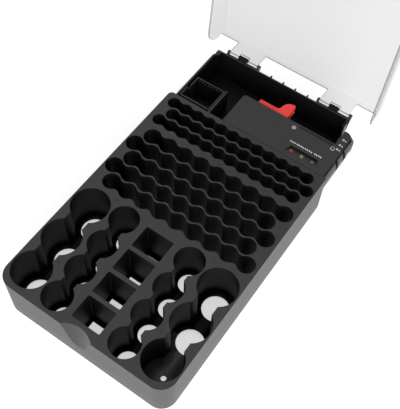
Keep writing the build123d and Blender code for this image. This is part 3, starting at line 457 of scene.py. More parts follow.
GROOVE_X = 78.9           # right edge of the tester's flat top, where its groove starts
TONES_FROM, TONES_SPAN = GROOVE_X - 1.0, 2.5      # where the change of tones starts, and its width
GROOVE_SHADE_FROM, STRIP_HIGHLIGHT_FROM = 0.975, 2.275            # where in that width the painted shade of the groove and the painted highlight of the strip start


def tester_shell(name, flat, groove, strip):
    """Top of the tester: black, a deeper black in its groove as painted shade, and a greyer strip outside
    the groove as a painted highlight.
    """
    material, tree = blank(name)
    place = node(tree, "ShaderNodeTexCoord").outputs["Object"]
    across = node(tree, "ShaderNodeSeparateXYZ", [(0, place)])
    span = node(tree, "ShaderNodeMapRange", [
        ("Value", across.outputs["X"]), ("From Min", TONES_FROM * MM),
        ("From Max", (TONES_FROM + TONES_SPAN) * MM)])
    tone = node(tree, "ShaderNodeValToRGB", [("Fac", span.outputs["Result"])])
    ramp = tone.color_ramp
    ramp.interpolation = "CONSTANT"
    ramp.elements[0].color = rgb(flat)
    # the groove's deep black is painted shade, the strip's grey a painted highlight
    for start, colour in ((GROOVE_SHADE_FROM, groove), (STRIP_HIGHLIGHT_FROM, strip)):
        ramp.elements.new(start / TONES_SPAN).color = rgb(colour)
    ramp.elements.remove(ramp.elements[-1])
    _, relief = mould_grain(tree, place, ERODED_GRAIN, 0.35)
    shader = node(tree, "ShaderNodeBsdfPrincipled", [
        ("Base Color", tone.outputs["Color"]), ("Normal", relief), ("Roughness", 0.42),
        ("IOR", PLASTIC_IOR)])
    node(tree, "ShaderNodeOutputMaterial", [("Surface", shader.outputs["BSDF"])])
    return material


# ================================================================ the finishes of this object
ERODED_GRAIN = 0.25       # the real pits are about 0.1 and wouldn't show, so they are coarser here
LENS_GRAIN, LENS_HIGHLIGHT_GRAIN = 3.0, 1.0

# ABS off a spark-eroded mould: satin black that turns grey where it faces the light
black_abs = moulded("abs_black_off_eroded_mould", "#161617", "#1B1B1C", 0.42, ERODED_GRAIN, 0.35)
# ABS in the wells and the recess: a darker black than the deck, which is painted shade, with hardly a shine
black_shaded_hollows = moulded("abs_black_with_painted_shade_in_hollows", "#0A0A0B", "#0E0E0F", 0.5, ERODED_GRAIN, 0.15, 0.12)
# ABS of the one closed floor: a greyer black, which is painted light
black_closed_floor_painted_light = moulded("abs_black_closed_floor_painted_light", "#3C3C3D", "#424243", 0.5, ERODED_GRAIN, 0.2)
# ABS off a plain ground mould: thin walls of the coin-cell box, near black with a soft shine
black_smooth = moulded("abs_black_off_ground_mould", "#0F0F10", "#141415", 0.36, ERODED_GRAIN, 0.20)
# ABS off an eroded mould, with painted shade in its groove and a painted highlight on the strip outside it
tester_top_painted_light = tester_shell("abs_black_tester_top_painted_shade_and_highlight", "#1B1B1C", "#060606", "#343436")
# ABS on the steep side of the tester: a greyer black, which is painted light, and a little shinier
tester_side = moulded("abs_black_tester_side_painted_light", "#262627", "#2C2C2D", 0.40, ERODED_GRAIN, 0.25)
# red ABS, moulded: an even warm red with a broad soft highlight
red_abs = moulded("abs_red_moulded", "#E8352A", "#F04032", 0.38, 0.30, 0.15)
# lacquer over a copper-clad board: dark green with a low gloss
green_board = moulded("solder_lacquer_green", "#1F5A36", "#2A6B42", 0.35, 0.6, 0.15)
# epoxy, transfer moulded: the dull black of a chip
epoxy_black = moulded("epoxy_black_moulded", "#161616", "#1E1E1E", 0.5, 0.3, 0.2)
# screen-printed ink: a dull off-white
ink_white = moulded("ink_white_screen_printed", "#CFCFCB", "#E2E2DE", 0.6, 0.2, 0.1)
# tinted epoxy cast in a polished mould: a dark, wet-looking colour; a paler copy of it on the
# middle of each dome is a painted highlight
lens_red = moulded("epoxy_red_cast_lens", "#3A0C10", "#4A1216", 0.22, LENS_GRAIN, 0.02)
lens_yellow = moulded("epoxy_yellow_cast_lens", "#3F3A1E", "#4C4626", 0.22, LENS_GRAIN, 0.02)
lens_green = moulded("epoxy_green_cast_lens", "#0C2418", "#123022", 0.22, LENS_GRAIN, 0.02)
highlight_red_lens = moulded("red_lens_painted_highlight", "#7C3A3C", "#884446", 0.3, LENS_HIGHLIGHT_GRAIN, 0.02)
highlight_yellow_lens = moulded("yellow_lens_painted_highlight", "#8C8258", "#988E64", 0.3, LENS_HIGHLIGHT_GRAIN, 0.02)
highlight_green_lens = moulded("green_lens_painted_highlight", "#3E6450", "#4A705C", 0.3, LENS_HIGHLIGHT_GRAIN, 0.02)
# nickel over stamped brass: a warm pale metal whose shine varies along the strip
nickel = metal("nickel_plated_brass_stamped", "#B9B7B0", 0.28, 0.4)
# nickel over a tumbled rivet: the same metal gone dull
nickel_dull = metal("nickel_plated_rivet_tumbled", "#ABAAA6", 0.40, 0.3)
# nickel over a rolled eyelet: a brighter ring
nickel_bright = metal("nickel_plated_eyelet_rolled", "#D2D0CA", 0.38, 0.3)
# phosphor bronze, bare and handled: a dark brownish leaf
bronze = metal("phosphor_bronze_darkened", "#4A4640", 0.45, 0.4)
# zinc over steel: the bluish grey of small screws
zinc = metal("zinc_plated_steel", "#A7A9AB", 0.34, 0.4)
# polystyrene, injection moulded: clear, with a little grey in the depth of the sheet
clear_styrene = clear_sheet("polystyrene_clear_moulded", "#EEEDED", "#E9E9E9", 0.015, 0.14)
# its rim: light runs along the sheet and leaves there, which reads as a thin grey line
styrene_edge = clear_sheet("polystyrene_clear_rim", "#B2B4B6", "#999C9E", 0.20, 0.50)

# ================================================================ tray
SCOOP_X, SCOOP_R, SCOOP_BITE, SCOOP_DROP = -1.5, 22.0, 5.9, 28.0
SCOOP_STEPS = 8
ROUND = 0.5               # rounding of the edges of the deck and its wells
LIP_R, LIP_STEPS = 0.25, 3        # and of the outer edge, where the tester lies close
THIN_R = 0.2              # and of thin parts
CORNER_R, BACK_R, TIGHT_R = 14.0, 4.0, 0.5    # front corners, left back corner, right back corner
CORNER_STEPS = 12
OVER = 1.0                # how far parts of a plan or of the mesh run into each other
HAIR = 0.01               # keeps two lines of a plan from lying on each other
RIM_STOP, LEAN_STOP = 2.5, 1.2    # from the right side to the rear wall's rim, from both to its lean
RIM_T, RIM_SOFT, LEAN_H = 1.5, 0.4, 20.0
LOW_WALL_PAST_JAW = 2.0   # the right wall is low beside the tester, to this far behind its jaw
DIVIDER_X0, DIVIDER_X1, DIVIDER_LENGTH, DIVIDER_R = -41.2, -39.3, 30.3, 0.4
SEAT_RIBS, SEAT_RIB_T = (-8.0, 44.0), 1.8
REAR_RIBS = (-16.8, -3.6, 9.4, 22.4)
REAR_RIB_HALF, REAR_RIB_OUT, REAR_RIB_H, REAR_RIB_FOOT = 0.7, 2.2, 26.0, 5.0
RIM_REACH = 0.8           # how far the ribs and cheeks reach into the rim
CHEEKS = ((-17.3, 1.6), (15.7, 2.8))      # from the middle of the hinge, with their thickness
CHEEK_H, CHEEK_IN, CHEEK_EDGE = 13.0, 0.7, 0.3
# the cheeks' nose: how far past the hinge's line it is below, at its shoulder and at its top
NOSE_LOW, NOSE_SHOULDER, NOSE_SHOULDER_H, NOSE_TOP = 0.6, 1.2, 2.5, -0.8
LEDGE_HALF, LEDGE_OUT, LEDGE_DROP, LEDGE_T = 16.2, 1.5, 0.5, 2.8
KNUCKLE_R, KNUCKLE_HALF, KNUCKLE_ARM, BORE_R, MOUTH_HALF, MOUTH_DROP = 2.8, 4.7, 1.7, 1.38, 1.0, 4.0
DECK_RINGS = ((-51.8, 40.7), (49.2, 40.1), (-0.8, 111.3), (-49.7, 112.6), (47.8, 112.4), (-1.3, 191.4))
DECK_RING_R, DECK_RING_HOLE, DECK_RING_RISE, DECK_RING_SOFT = 1.6, 0.9, 0.25, 0.1


def scoop_line(y, r, bite, steps=24):
    """Arc of the scoop's cylinder, of radius r, behind a wall that lies at y."""
    centre = FRONT_Y + bite - SCOOP_R
    half = math.sqrt(max(r ** 2 - (y - centre) ** 2, 0.0))
    us = [half * (2 * k / steps - 1) for k in range(steps + 1)]
    return [(SCOOP_X + u, centre + math.sqrt(r ** 2 - u ** 2)) for u in us]


def with_scoop(outline, scoop):
    """Outline of the body with the scoop's arc between its two front corners."""
    left_corner = CORNER_STEPS + 1
    return outline[:left_corner] + scoop + outline[left_corner:]


def deck_ring(z):
    """Outline of the deck at one height, with the thumb scoop's bite in the front edge."""
    bite = max(SCOOP_BITE * (1 - (DECK_Z - z) / SCOOP_DROP), 0.0)
    radii = (CORNER_R, CORNER_R, TIGHT_R, BACK_R)
    outline = box_plan(-HALF_W, HALF_W, FRONT_Y, BODY_Y, radii, CORNER_STEPS)
    return with_scoop(outline, scoop_line(FRONT_Y, SCOOP_R, bite))


def make_outer_wall(tray):
    levels = []
    for k in range(LIP_STEPS + 1):
        a = math.pi / 2 * k / LIP_STEPS
        z = DECK_Z - LIP_R * (1 - math.cos(a))
        levels.append((inset(deck_ring(z), LIP_R * (1 - math.sin(a))), z))
    low = DECK_Z - SCOOP_DROP
    for k in range(1, SCOOP_STEPS + 1):
        z = DECK_Z - LIP_R + (low - DECK_Z + LIP_R) * k / SCOOP_STEPS
        levels.append((deck_ring(z), z))
    tray.rings(levels + [(deck_ring(0), 0.0)])


def make_deep_body(tray):
    """Deck, wells with their floors, skirts below, and the outer wall with its scoop."""
    wells, skirts, holes = well_plans(), skirt_plans(), hole_plans()
    edge = deck_ring(DECK_Z)
    radii = (CORNER_R - SKIN, CORNER_R - SKIN, TIGHT_R, BACK_R - SKIN)
    inner = box_plan(-HALF_W + SKIN, HALF_W - SKIN, FRONT_Y + SKIN, BODY_Y - SKIN, radii, CORNER_STEPS)
    inner = with_scoop(inner, scoop_line(FRONT_Y + SKIN, SCOOP_R + SKIN, SCOOP_BITE))
    mouths = [w for w in region(lambda k: k == {"deck"}, deck=[edge], well=wells) if area(w) < 0]
    tray.flat([inset(edge, LIP_R)] + [inset(w, ROUND) for w in mouths], DECK_Z)
    for mouth in mouths:
        tray.rings(tray.edge(mouth, DECK_Z, ROUND) + [(mouth, FLOOR_TOP)])
    make_outer_wall(tray)
    # floors, each with its hole
    floors = region(lambda k: "well" in k and "hole" not in k, well=wells, hole=holes)
    tray.flat(floors, FLOOR_TOP)
    for outline in floors:
        if area(outline) < 0:
            tray.rings([(outline, FLOOR_TOP), (outline, FOOT)])
    tray.flat(region(lambda k: {"inner", "skirt"} <= k and "hole" not in k,
                     inner=[inner], skirt=skirts, hole=holes), FOOT, up=False)
    # the hollow below the deck
    hollow = region(lambda k: k == {"inner"}, inner=[inner], skirt=skirts)
    tray.flat(hollow, DECK_Z - DECK_T, up=False)
    for ring in hollow:
        tray.rings([(ring[::-1], DECK_Z - DECK_T), (ring[::-1], FOOT)])
    tray.rings([(inner[::-1], FOOT), (inner[::-1], 0.0)])
    tray.flat([deck_ring(0), inner[::-1]], 0.0, up=False)


def make_recess(tray):
    """Walls, raised floor, divider and ribs behind the wells."""
    y0 = BODY_Y - LIP_R
    shell = box_plan(RECESS_X0, RECESS_X1, y0, REAR_Y, (0, 0, TIGHT_R, RECESS_CORNER), CORNER_STEPS)
    hollow = box_plan(RECESS_X0 + SKIN, RECESS_X1 - SKIN, y0 - OVER, REAR_Y - SKIN,
                      (0, 0, TIGHT_R, RECESS_CORNER - SKIN), CORNER_STEPS)
    low = box_plan(RECESS_X1 - SKIN - OVER, RECESS_X1 + OVER, y0 - OVER, JAW_Y + LOW_WALL_PAST_JAW)
    rear = box_plan(RECESS_X0 + RECESS_CORNER, RECESS_X1 - RIM_STOP, REAR_Y - SKIN - HAIR, REAR_Y + OVER)
    walls = region(lambda k: k == {"shell"}, shell=[shell], hollow=[hollow, rear])
    high = region(lambda k: k == {"shell"}, shell=[shell], hollow=[hollow, rear, low])
    tray.prism(walls, 0.0, SEAT_Z)
    tray.prism(high, SEAT_Z - OVER, DECK_Z, ROUND)
    make_rear_wall(tray)
    floor = box_plan(RECESS_X0 + OVER, RECESS_X1 - OVER, y0, REAR_Y - OVER, (0, 0, 0, RECESS_CORNER - OVER))
    tray.prism([floor], RECESS_Z - SKIN, RECESS_Z)
    divider = box_plan(DIVIDER_X0, DIVIDER_X1, y0, BODY_Y + DIVIDER_LENGTH, (0, 0, DIVIDER_R, DIVIDER_R), 3)
    tray.prism([divider], RECESS_Z - OVER, DECK_Z, DIVIDER_R)
    for x in SEAT_RIBS:
        tray.prism([box_plan(x, x + SEAT_RIB_T, y0, TESTER_Y1)], RECESS_Z - OVER, SEAT_Z)
    tip, foot = FLANGE_Y + REAR_RIB_OUT, DECK_Z - REAR_RIB_H
    rib = [(REAR_Y - OVER, foot), (tip, DECK_Z - DECK_T), (tip, DECK_Z), (FLANGE_Y - RIM_REACH, DECK_Z),
           (REAR_Y - OVER, foot + REAR_RIB_FOOT)]
    for x in REAR_RIBS:
        tray.prism([rib], x - REAR_RIB_HALF, x + REAR_RIB_HALF, THIN_R, "x", both=True)
    for side in (-1, 1):
        make_hinge_seat(tray, side * HINGE_X)


def make_rear_wall(tray):
    """Rear wall, which leans out from low down to a thin rim that stops short of the round corner."""
    rim, foot = FLANGE_Y - RIM_T, REAR_Y - SKIN
    inside, outside = DECK_Z - LEAN_H, DECK_Z - LEAN_H - DECK_T
    back = [(REAR_Y, outside), (FLANGE_Y, DECK_Z - DECK_T), (FLANGE_Y, DECK_Z - RIM_SOFT),
            (FLANGE_Y - RIM_SOFT, DECK_Z)]
    front = [(rim + RIM_SOFT, DECK_Z), (rim, DECK_Z - RIM_SOFT), (foot, inside)]
    wall = [(foot, 0.0), (REAR_Y, 0.0)] + back + front
    end = [(REAR_Y - OVER, outside)] + back + [(REAR_Y - OVER, DECK_Z)]
    x0, x1 = RECESS_X0 + RECESS_CORNER, RECESS_X1 - RIM_STOP
    left_end, right_end = RECESS_X0 + LEAN_STOP, RECESS_X1 - LEAN_STOP
    for profile, left, right in ((wall, x0, x1), (end, left_end, x0), (end, x1, right_end)):
        tray.prism([profile], left, right, along="x")


def make_hinge_seat(tray, x):
    """Two cheeks, the ledge between them, and the knuckle that the cover's rod snaps into."""
    cheek = [(REAR_Y + CHEEK_IN, DECK_Z - CHEEK_H), (HINGE_Y + NOSE_LOW, HINGE_Z - KNUCKLE_R),
             (HINGE_Y + KNUCKLE_R, HINGE_Z), (HINGE_Y + NOSE_SHOULDER, HINGE_Z + NOSE_SHOULDER_H),
             (HINGE_Y + NOSE_TOP, HINGE_Z + KNUCKLE_R), (FLANGE_Y, DECK_Z),
             (FLANGE_Y - RIM_REACH, DECK_Z)]
    for start, thick in CHEEKS:
        tray.prism([cheek], x + start, x + start + thick, CHEEK_EDGE, "x", both=True)
    ledge = box_plan(x - LEDGE_HALF, x + LEDGE_HALF, FLANGE_Y - OVER, FLANGE_Y + LEDGE_OUT)
    tray.prism([ledge], DECK_Z - LEDGE_DROP - LEDGE_T, DECK_Z - LEDGE_DROP, THIN_R)
    ring = disc(HINGE_Y, HINGE_Z, KNUCKLE_R, 32)
    arm = box_plan(FLANGE_Y - OVER, HINGE_Y, HINGE_Z - KNUCKLE_ARM, DECK_Z)
    bore = disc(HINGE_Y, HINGE_Z, BORE_R, 24)
    mouth = box_plan(HINGE_Y - MOUTH_HALF, HINGE_Y + MOUTH_HALF, HINGE_Z - MOUTH_DROP, HINGE_Z)
    knuckle = region(lambda k: "solid" in k and "open" not in k, solid=[ring, arm], open=[bore, mouth])
    tray.prism(knuckle, x - KNUCKLE_HALF, x + KNUCKLE_HALF, THIN_R, "x", both=True)


OUTSIDE, SHADED_HOLLOWS, LIT_CLOSED_FLOOR = 0, 1, 2      # the tray's black, its hollows darker with painted shade, and its closed floor greyer with painted light
NEAR = 1.0                # faces that lie nearer than this to the outer face of a wall are its own
LEVEL = 0.1               # faces this near to the floor's height are the floor
PAST_FLANGE, PAST_FACE = 0.2, 0.5         # slack behind the flange, and behind the rear wall's inner face
SEAT_HALF, SCOOP_HALF, SCOOP_DEEP = 16.0, 16.0, 7.0


def tray_finish_at(x, y, z):
    """Which black a face has, by its middle: outside, darker in the wells and the recess as painted shade,
    or greyer on the closed floor as painted light.
    """
    # the one closed floor of a large well is greyer: painted light
    if x > D_X - D_R and y < D_Y[1] and abs(z - FLOOR_TOP) < LEVEL:
        return LIT_CLOSED_FLOOR
    behind_rim = y > FLANGE_Y + PAST_FLANGE
    deck = z > DECK_Z - ROUND and not behind_rim
    scoop = abs(x - SCOOP_X) < SCOOP_HALF and y < FRONT_Y + SCOOP_DEEP
    past_x, past_y = abs(x) - HALF_W + CORNER_R, FRONT_Y + CORNER_R - y
    round_corner = min(past_x, past_y) > 0 and math.hypot(past_x, past_y) > CORNER_R - NEAR
    if deck or scoop or round_corner:
        return OUTSIDE
    seat = behind_rim and abs(abs(x) - HINGE_X) < SEAT_HALF
    wells = abs(x) < HALF_W - NEAR and FRONT_Y + NEAR < y < BODY_Y - NEAR
    # the rear wall's inner face leans out from this height up to the rim
    lean = (FLANGE_Y - RIM_T) - (REAR_Y - SKIN)
    inner_face = REAR_Y - SKIN + lean * max(z - DECK_Z + LEAN_H, 0.0) / LEAN_H
    recess = RECESS_X0 + NEAR < x < RECESS_X1 - NEAR and BODY_Y - NEAR <= y < inner_face + PAST_FACE
    # faces in the hinge seats, the wells and the recess take the darker black: painted shade
    return SHADED_HOLLOWS if seat or wells or recess else OUTSIDE


def make_tray():
    tray = Moulding()
    make_deep_body(tray)
    make_recess(tray)
    # small moulded rings that stand on the deck
    for x, front in DECK_RINGS:
        y = FRONT_Y + front
        ring = [disc(x, y, DECK_RING_R, 20), disc(x, y, DECK_RING_HOLE, 16)[::-1]]
        tray.prism(ring, DECK_Z - DECK_RING_SOFT, DECK_Z + DECK_RING_RISE, DECK_RING_SOFT)
    tray.finish_by_place(tray_finish_at)
    return tray.piece("tray_moulding", "tray", [black_abs, black_shaded_hollows, black_closed_floor_painted_light])


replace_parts(make_tray(), "tray")

# ================================================================ cover
COVER_HALF, COVER_Y0, RIM_Z, COVER_TOP = 87.5, -154.25, 39.4, 69.0
COVER_T, OPEN_ANGLE = 1.8, math.radians(95.5)
COVER_LEAN = 1.9 / 29.6   # how far the walls draw in, for each millimetre up
COVER_CORNER, BACK_CORNER = 19.2, 5.0
COVER_STEPS, BACK_STEPS, SKIRT_STEP = 16, 10, 6       # of each corner, and where the side wall ends
HEEL_R, HEEL_STEPS, SKIRT_Z, NOTCH_Z = 16.5, 10, 61.2, 49.5
ROOF_R, ROOF_INNER_R, ROOF_STEPS, WALL_STEPS = 2.4, 1.0, 4, 6
TAB_HALF, NOTCH_HALF, ROD_R = 15.3, 5.1, 1.3


def cover_stations():
    """Points round the cover at its rim: place, inward normal, and how low the wall comes there."""
    made = []

    def heel(y):
        """The lower rear corner of a side wall is round."""
        run = min(max(y - HINGE_Y + HEEL_R, 0.0), HEEL_R)
        return RIM_Z + HEEL_R - math.sqrt(HEEL_R ** 2 - run ** 2)

    def turn(cx, cy, r, start, steps, stop=None):
        """Round corner.  At the step called stop the side wall meets the short skirt of the back."""
        for k in range(steps + 1):
            a = math.radians(start + 90 * k / steps)
            x, y = cx + r * math.cos(a), cy + r * math.sin(a)
            lows = [heel(y)]
            if stop is not None and k == stop:
                lows = [heel(y), SKIRT_Z] if cx > 0 else [SKIRT_Z, heel(y)]
            elif stop is not None and (k > stop) == (cx > 0):
                lows = [SKIRT_Z]
            made.extend((x, y, -math.cos(a), -math.sin(a), low) for low in lows)

    wide = COVER_HALF - COVER_CORNER
    turn(-wide, COVER_Y0 + COVER_CORNER, COVER_CORNER, 180, COVER_STEPS)
    turn(wide, COVER_Y0 + COVER_CORNER, COVER_CORNER, 270, COVER_STEPS)
    run = HEEL_R - BACK_CORNER
    sides = [HINGE_Y - HEEL_R + run * k / HEEL_STEPS for k in range(HEEL_STEPS)]
    made += [(COVER_HALF, y, -1.0, 0.0, heel(y)) for y in sides]
    back_x, back_y = COVER_HALF - BACK_CORNER, HINGE_Y - BACK_CORNER
    turn(back_x, back_y, BACK_CORNER, 0, BACK_STEPS, SKIRT_STEP)
    # along the back two tabs come down to the hinge's line, each with a notch for its knuckle
    edges, lows = [], [SKIRT_Z]
    for side in (1, -1):
        edges += [side * HINGE_X + d for d in (TAB_HALF, NOTCH_HALF, -NOTCH_HALF, -TAB_HALF)]
        lows += [HINGE_Z, NOTCH_Z, HINGE_Z, SKIRT_Z]
    for x, before, after in zip(edges, lows, lows[1:]):
        made += [(x, HINGE_Y, 0.0, -1.0, before), (x, HINGE_Y, 0.0, -1.0, after)]
    turn(-back_x, back_y, BACK_CORNER, 90, BACK_STEPS, BACK_STEPS - SKIRT_STEP)
    made += [(-COVER_HALF, y, 1.0, 0.0, heel(y)) for y in reversed(sides)]
    return made


def cover_skin(stations, thick, top, soft):
    """Rows from the roof's round edge down to the rim, thick inside the outer face."""
    rows = []
    for k in range(ROOF_STEPS + 1):
        a = math.pi / 2 * k / ROOF_STEPS
        z = top - soft * (1 - math.cos(a))
        draw = thick + COVER_LEAN * (z - RIM_Z) + soft * (1 - math.sin(a))
        rows.append([(x + nx * draw, y + ny * draw, z) for x, y, nx, ny, low in stations])
    for k in range(1, WALL_STEPS + 1):
        row = []
        for x, y, nx, ny, low in stations:
            z = top - soft + (low - top + soft) * k / WALL_STEPS
            draw = thick + COVER_LEAN * (z - RIM_Z)
            row.append((x + nx * draw, y + ny * draw, z))
        rows.append(row)
    return rows


def make_cover():
    """Thin shell whose rim comes lowest at the sides; it is shaped shut, then turned open."""
    cover = Moulding()
    stations = cover_stations()
    roof = COVER_TOP - COVER_T
    outer = cover_skin(stations, 0.0, COVER_TOP, ROOF_R)
    inner = cover_skin(stations, COVER_T, roof, ROOF_INNER_R)
    cover.rows(outer)
    cover.rows([row[::-1] for row in inner])
    cover.rows([outer[-1], inner[-1]], kind=1)
    cover.flat([[p[:2] for p in outer[0]]], COVER_TOP)
    cover.flat([[p[:2] for p in inner[0]]], roof, up=False)
    for side in (-1, 1):
        x, rod = side * HINGE_X, disc(HINGE_Y, HINGE_Z, ROD_R, 20)
        cover.prism([rod], x - TAB_HALF, x + TAB_HALF, THIN_R, "x", both=True)
    c, s = math.cos(OPEN_ANGLE), math.sin(OPEN_ANGLE)
    turned = []
    for x, y, z in cover.verts:
        back, up = y - HINGE_Y, z - HINGE_Z
        turned.append((x, HINGE_Y + back * c + up * s, HINGE_Z - back * s + up * c))
    cover.verts = turned
    return cover.piece("cover_shell", "cover", [clear_styrene, styrene_edge], 35)


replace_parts(make_cover(), "cover")

# ================================================================ lamps, round contacts and marks
LAMP_Y, CONTACT_Y = 91.85, 115.15
LAMPS = {
    "led_red": (42.4, lens_red, highlight_red_lens),
    "led_yellow": (52.95, lens_yellow, highlight_yellow_lens),
    "led_green": (63.5, lens_green, highlight_green_lens),
}
LAMP_R, LAMP_RISE, DOME_H, DOME_STEPS, LENS_HIGHLIGHT_R = 2.45, 0.6, 1.3, 7, 1.0
COLLAR_OVER_BOARD, COLLAR_OUT, COLLAR_H = 0.7, 0.4, 1.0
LEG_OFF, LEG_HALF, LEG_BELOW_BOARD = 1.27, 0.25, 2.1
TESTER_Z0 = 31.0
BOARD_Z = TESTER_Z0 + 6.7
RIVET_R, SHANK_R, RIVET_RISE, RIVET_DROP = 2.1, 1.6, 0.5, 2.6
RIVET_EDGE, RIVET_STEPS = 0.35, 4
INK_T, INK_CORNERS = 0.05, (0.3,) * 4
BEAD_ROWS = ((36.1, 42.4), (42.9, 50.7), (50.9, 59.4), (60.5, 68.4))
BEAD_Y, BEAD_STEP, BEAD_W, BEAD_H, BEAD_PITCH = 100.1, 0.25, 1.25, 1.4, 2.0
JAW_MARKS_Y, MARK_RING_X, MARK_RING = (117.15, 122.55, 129.15), 74.3, ((1.0, 20), (0.45, 12))
MARK_TICK_X0, MARK_TICK_X1, MARK_TICK_Y0, MARK_TICK_Y1 = 76.0, 77.4, -0.8, 0.2


def make_lamp(name, x, lens, highlight_finish):
    """Lamp with a domed lens, a collar at its foot and two legs through the board."""
    lamp_piece = Moulding()
    top, collar = DECK_Z + LAMP_RISE, BOARD_Z + COLLAR_OVER_BOARD
    profile = []
    for k in range(DOME_STEPS + 1):
        a = math.pi / 2 * k / DOME_STEPS
        profile.append((LAMP_R * math.sin(a), top - DOME_H * (1 - math.cos(a))))
    wide = LAMP_R + COLLAR_OUT
    profile += [(LAMP_R, collar + COLLAR_H), (wide, collar + COLLAR_H), (wide, collar), (0.0, collar)]
    lamp_piece.turned(x, LAMP_Y, profile)

    # faces over the middle of the dome take the paler colour: a painted highlight
    def on_lens_highlight(px, py, pz):
        return int(math.hypot(px - x, py - LAMP_Y) < LENS_HIGHLIGHT_R and pz > top - DOME_H)

    lamp_piece.finish_by_place(on_lens_highlight)
    for leg in (x - LEG_OFF, x + LEG_OFF):
        plan = box_plan(leg - LEG_HALF, leg + LEG_HALF, LAMP_Y - LEG_HALF, LAMP_Y + LEG_HALF)
        lamp_piece.prism([plan], BOARD_Z - LEG_BELOW_BOARD, collar + COLLAR_H / 2)
    return lamp_piece.piece(name + "_lens", "tester", [lens, highlight_finish], 50)


def make_rivet(name, x, hole, plating):
    """Head on the flat top with a rounded edge, and its shank; with a hole it is the ring contact."""
    rivet = Moulding()
    top, foot = DECK_Z + RIVET_RISE, DECK_Z - RIVET_DROP
    profile = [(hole, top)]
    for k in range(RIVET_STEPS + 1):
        a = math.pi / 2 * k / RIVET_STEPS
        profile.append((RIVET_R - RIVET_EDGE * (1 - math.sin(a)), top - RIVET_EDGE * (1 - math.cos(a))))
    profile += [(RIVET_R, DECK_Z), (SHANK_R, DECK_Z), (SHANK_R, foot), (hole, foot)]
    if hole:
        profile.append((hole, top))
    rivet.turned(x, CONTACT_Y, profile)
    return rivet.piece(name + "_turned", "tester", [plating], 50)


def make_marks():
    """Plain printed marks: four rows of beads behind the lamps, a ring and a tick at each jaw mark."""
    ink = Moulding()
    for x0, x1 in BEAD_ROWS:
        count = round((x1 - x0) / BEAD_PITCH)
        for k in range(count):
            x = x0 + (x1 - x0) * k / count
            y = BEAD_Y if k % 2 else BEAD_Y + BEAD_STEP
            bead = box_plan(x, x + BEAD_W, y, y + BEAD_H, INK_CORNERS, 2)
            ink.prism([bead], DECK_Z, DECK_Z + INK_T)
    for y in JAW_MARKS_Y:
        outer, hole = [disc(MARK_RING_X, y, r, steps) for r, steps in MARK_RING]
        tick = box_plan(MARK_TICK_X0, MARK_TICK_X1, y + MARK_TICK_Y0, y + MARK_TICK_Y1, INK_CORNERS, 2)
        ink.prism([outer, hole[::-1]], DECK_Z, DECK_Z + INK_T)
        ink.prism([tick], DECK_Z, DECK_Z + INK_T)
    return ink.piece("printed_marks", "tester", [ink_white])


for lamp_name, (lamp_x, lamp_lens, lamp_highlight) in LAMPS.items():
    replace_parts(make_lamp(lamp_name, lamp_x, lamp_lens, lamp_highlight), lamp_name)
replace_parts(make_rivet("button_contact", x=31.3, hole=0.0, plating=nickel_dull), "button_contact")
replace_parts(make_rivet("eyelet_contact", x=70.8, hole=1.4, plating=nickel_bright), "eyelet_contact")
make_marks()

# ================================================================ red slider
SLIDER_X0, SLIDER_X1, SLIDER_Y0, SLIDER_Y1 = -10.4, 20.3, 121.85, 137.9
SLIDER_Z, SLIDER_T, SLIDER_TAB, SLIDER_ARM = 45.2, 4.0, 10.4, 4.1
TAB_INNER_R, TAB_OUTER_R, TAB_TIP_R, SLIDER_SOFT = 3.8, 8.4, 1.5, 0.3
GRIP_RIBS, GRIP_PITCH, GRIP_START, GRIP_W, GRIP_RISE, GRIP_IN = 6, 2.7, 0.55, 1.2, 0.8, 0.4
SUNK = 0.5                # how far ribs and jaw reach into the arm
JAW_FOOT, CARRIAGE_FOOT, CARRIAGE_TOP = 35.2, 36.2, 44.0
CARRIAGE_HALF, CARRIAGE_Y0, CARRIAGE_Y1 = 8.0, 113.15, 118.55
NECK_DROP, NECK_T = 0.2, 2.4
STRIP_T, STRIP_RISE, STRIP_IN_FRONT, STRIP_IN_BACK = 0.4, 3.6, 1.4, 1.7


def make_slider():
    """Ribbed arm, the tab that is the moving jaw, and the carriage inside the tester."""
    slider = Moulding()
    arm_y, tab_x = SLIDER_Y0 + SLIDER_ARM, SLIDER_X1 - SLIDER_TAB
    quarter = math.pi / 2
    plan = [(SLIDER_X0, SLIDER_Y0), (SLIDER_X1, SLIDER_Y0)]
    plan += arc_points(SLIDER_X1 - TAB_TIP_R, SLIDER_Y1 - TAB_TIP_R, TAB_TIP_R, 0.0, quarter, 4)
    plan += arc_points(tab_x + TAB_OUTER_R, SLIDER_Y1 - TAB_OUTER_R, TAB_OUTER_R, quarter, math.pi, 12)
    plan += arc_points(tab_x - TAB_INNER_R, arm_y + TAB_INNER_R, TAB_INNER_R, 0.0, -quarter, 8)
    plan.append((SLIDER_X0, arm_y))
    slider.prism([plan], SLIDER_Z - SLIDER_T, SLIDER_Z, SLIDER_SOFT, both=True)
    for k in range(GRIP_RIBS):
        x = SLIDER_X0 + GRIP_PITCH * (k + GRIP_START)
        rib = box_plan(x, x + GRIP_W, SLIDER_Y0 + GRIP_IN, arm_y - GRIP_IN)
        slider.prism([rib], SLIDER_Z - SUNK, SLIDER_Z + GRIP_RISE, THIN_R)
    jaw = box_plan(SLIDER_X1 - SLIDER_T, SLIDER_X1, SLIDER_Y0, SLIDER_Y1 - TAB_TIP_R)
    slider.prism([jaw], JAW_FOOT, SLIDER_Z - SLIDER_T + SUNK)
    middle = (SLIDER_X0 + tab_x) / 2
    x0, x1 = middle - CARRIAGE_HALF, middle + CARRIAGE_HALF
    neck = box_plan(x0, x1, CARRIAGE_Y1 - OVER, SLIDER_Y0 + OVER)
    slider.prism([neck], CARRIAGE_TOP - NECK_DROP - NECK_T, CARRIAGE_TOP - NECK_DROP)
    slider.prism([box_plan(x0, x1, CARRIAGE_Y0, CARRIAGE_Y1)], CARRIAGE_FOOT, CARRIAGE_TOP)
    return slider.piece("slider_moulding", "slider", [red_abs])


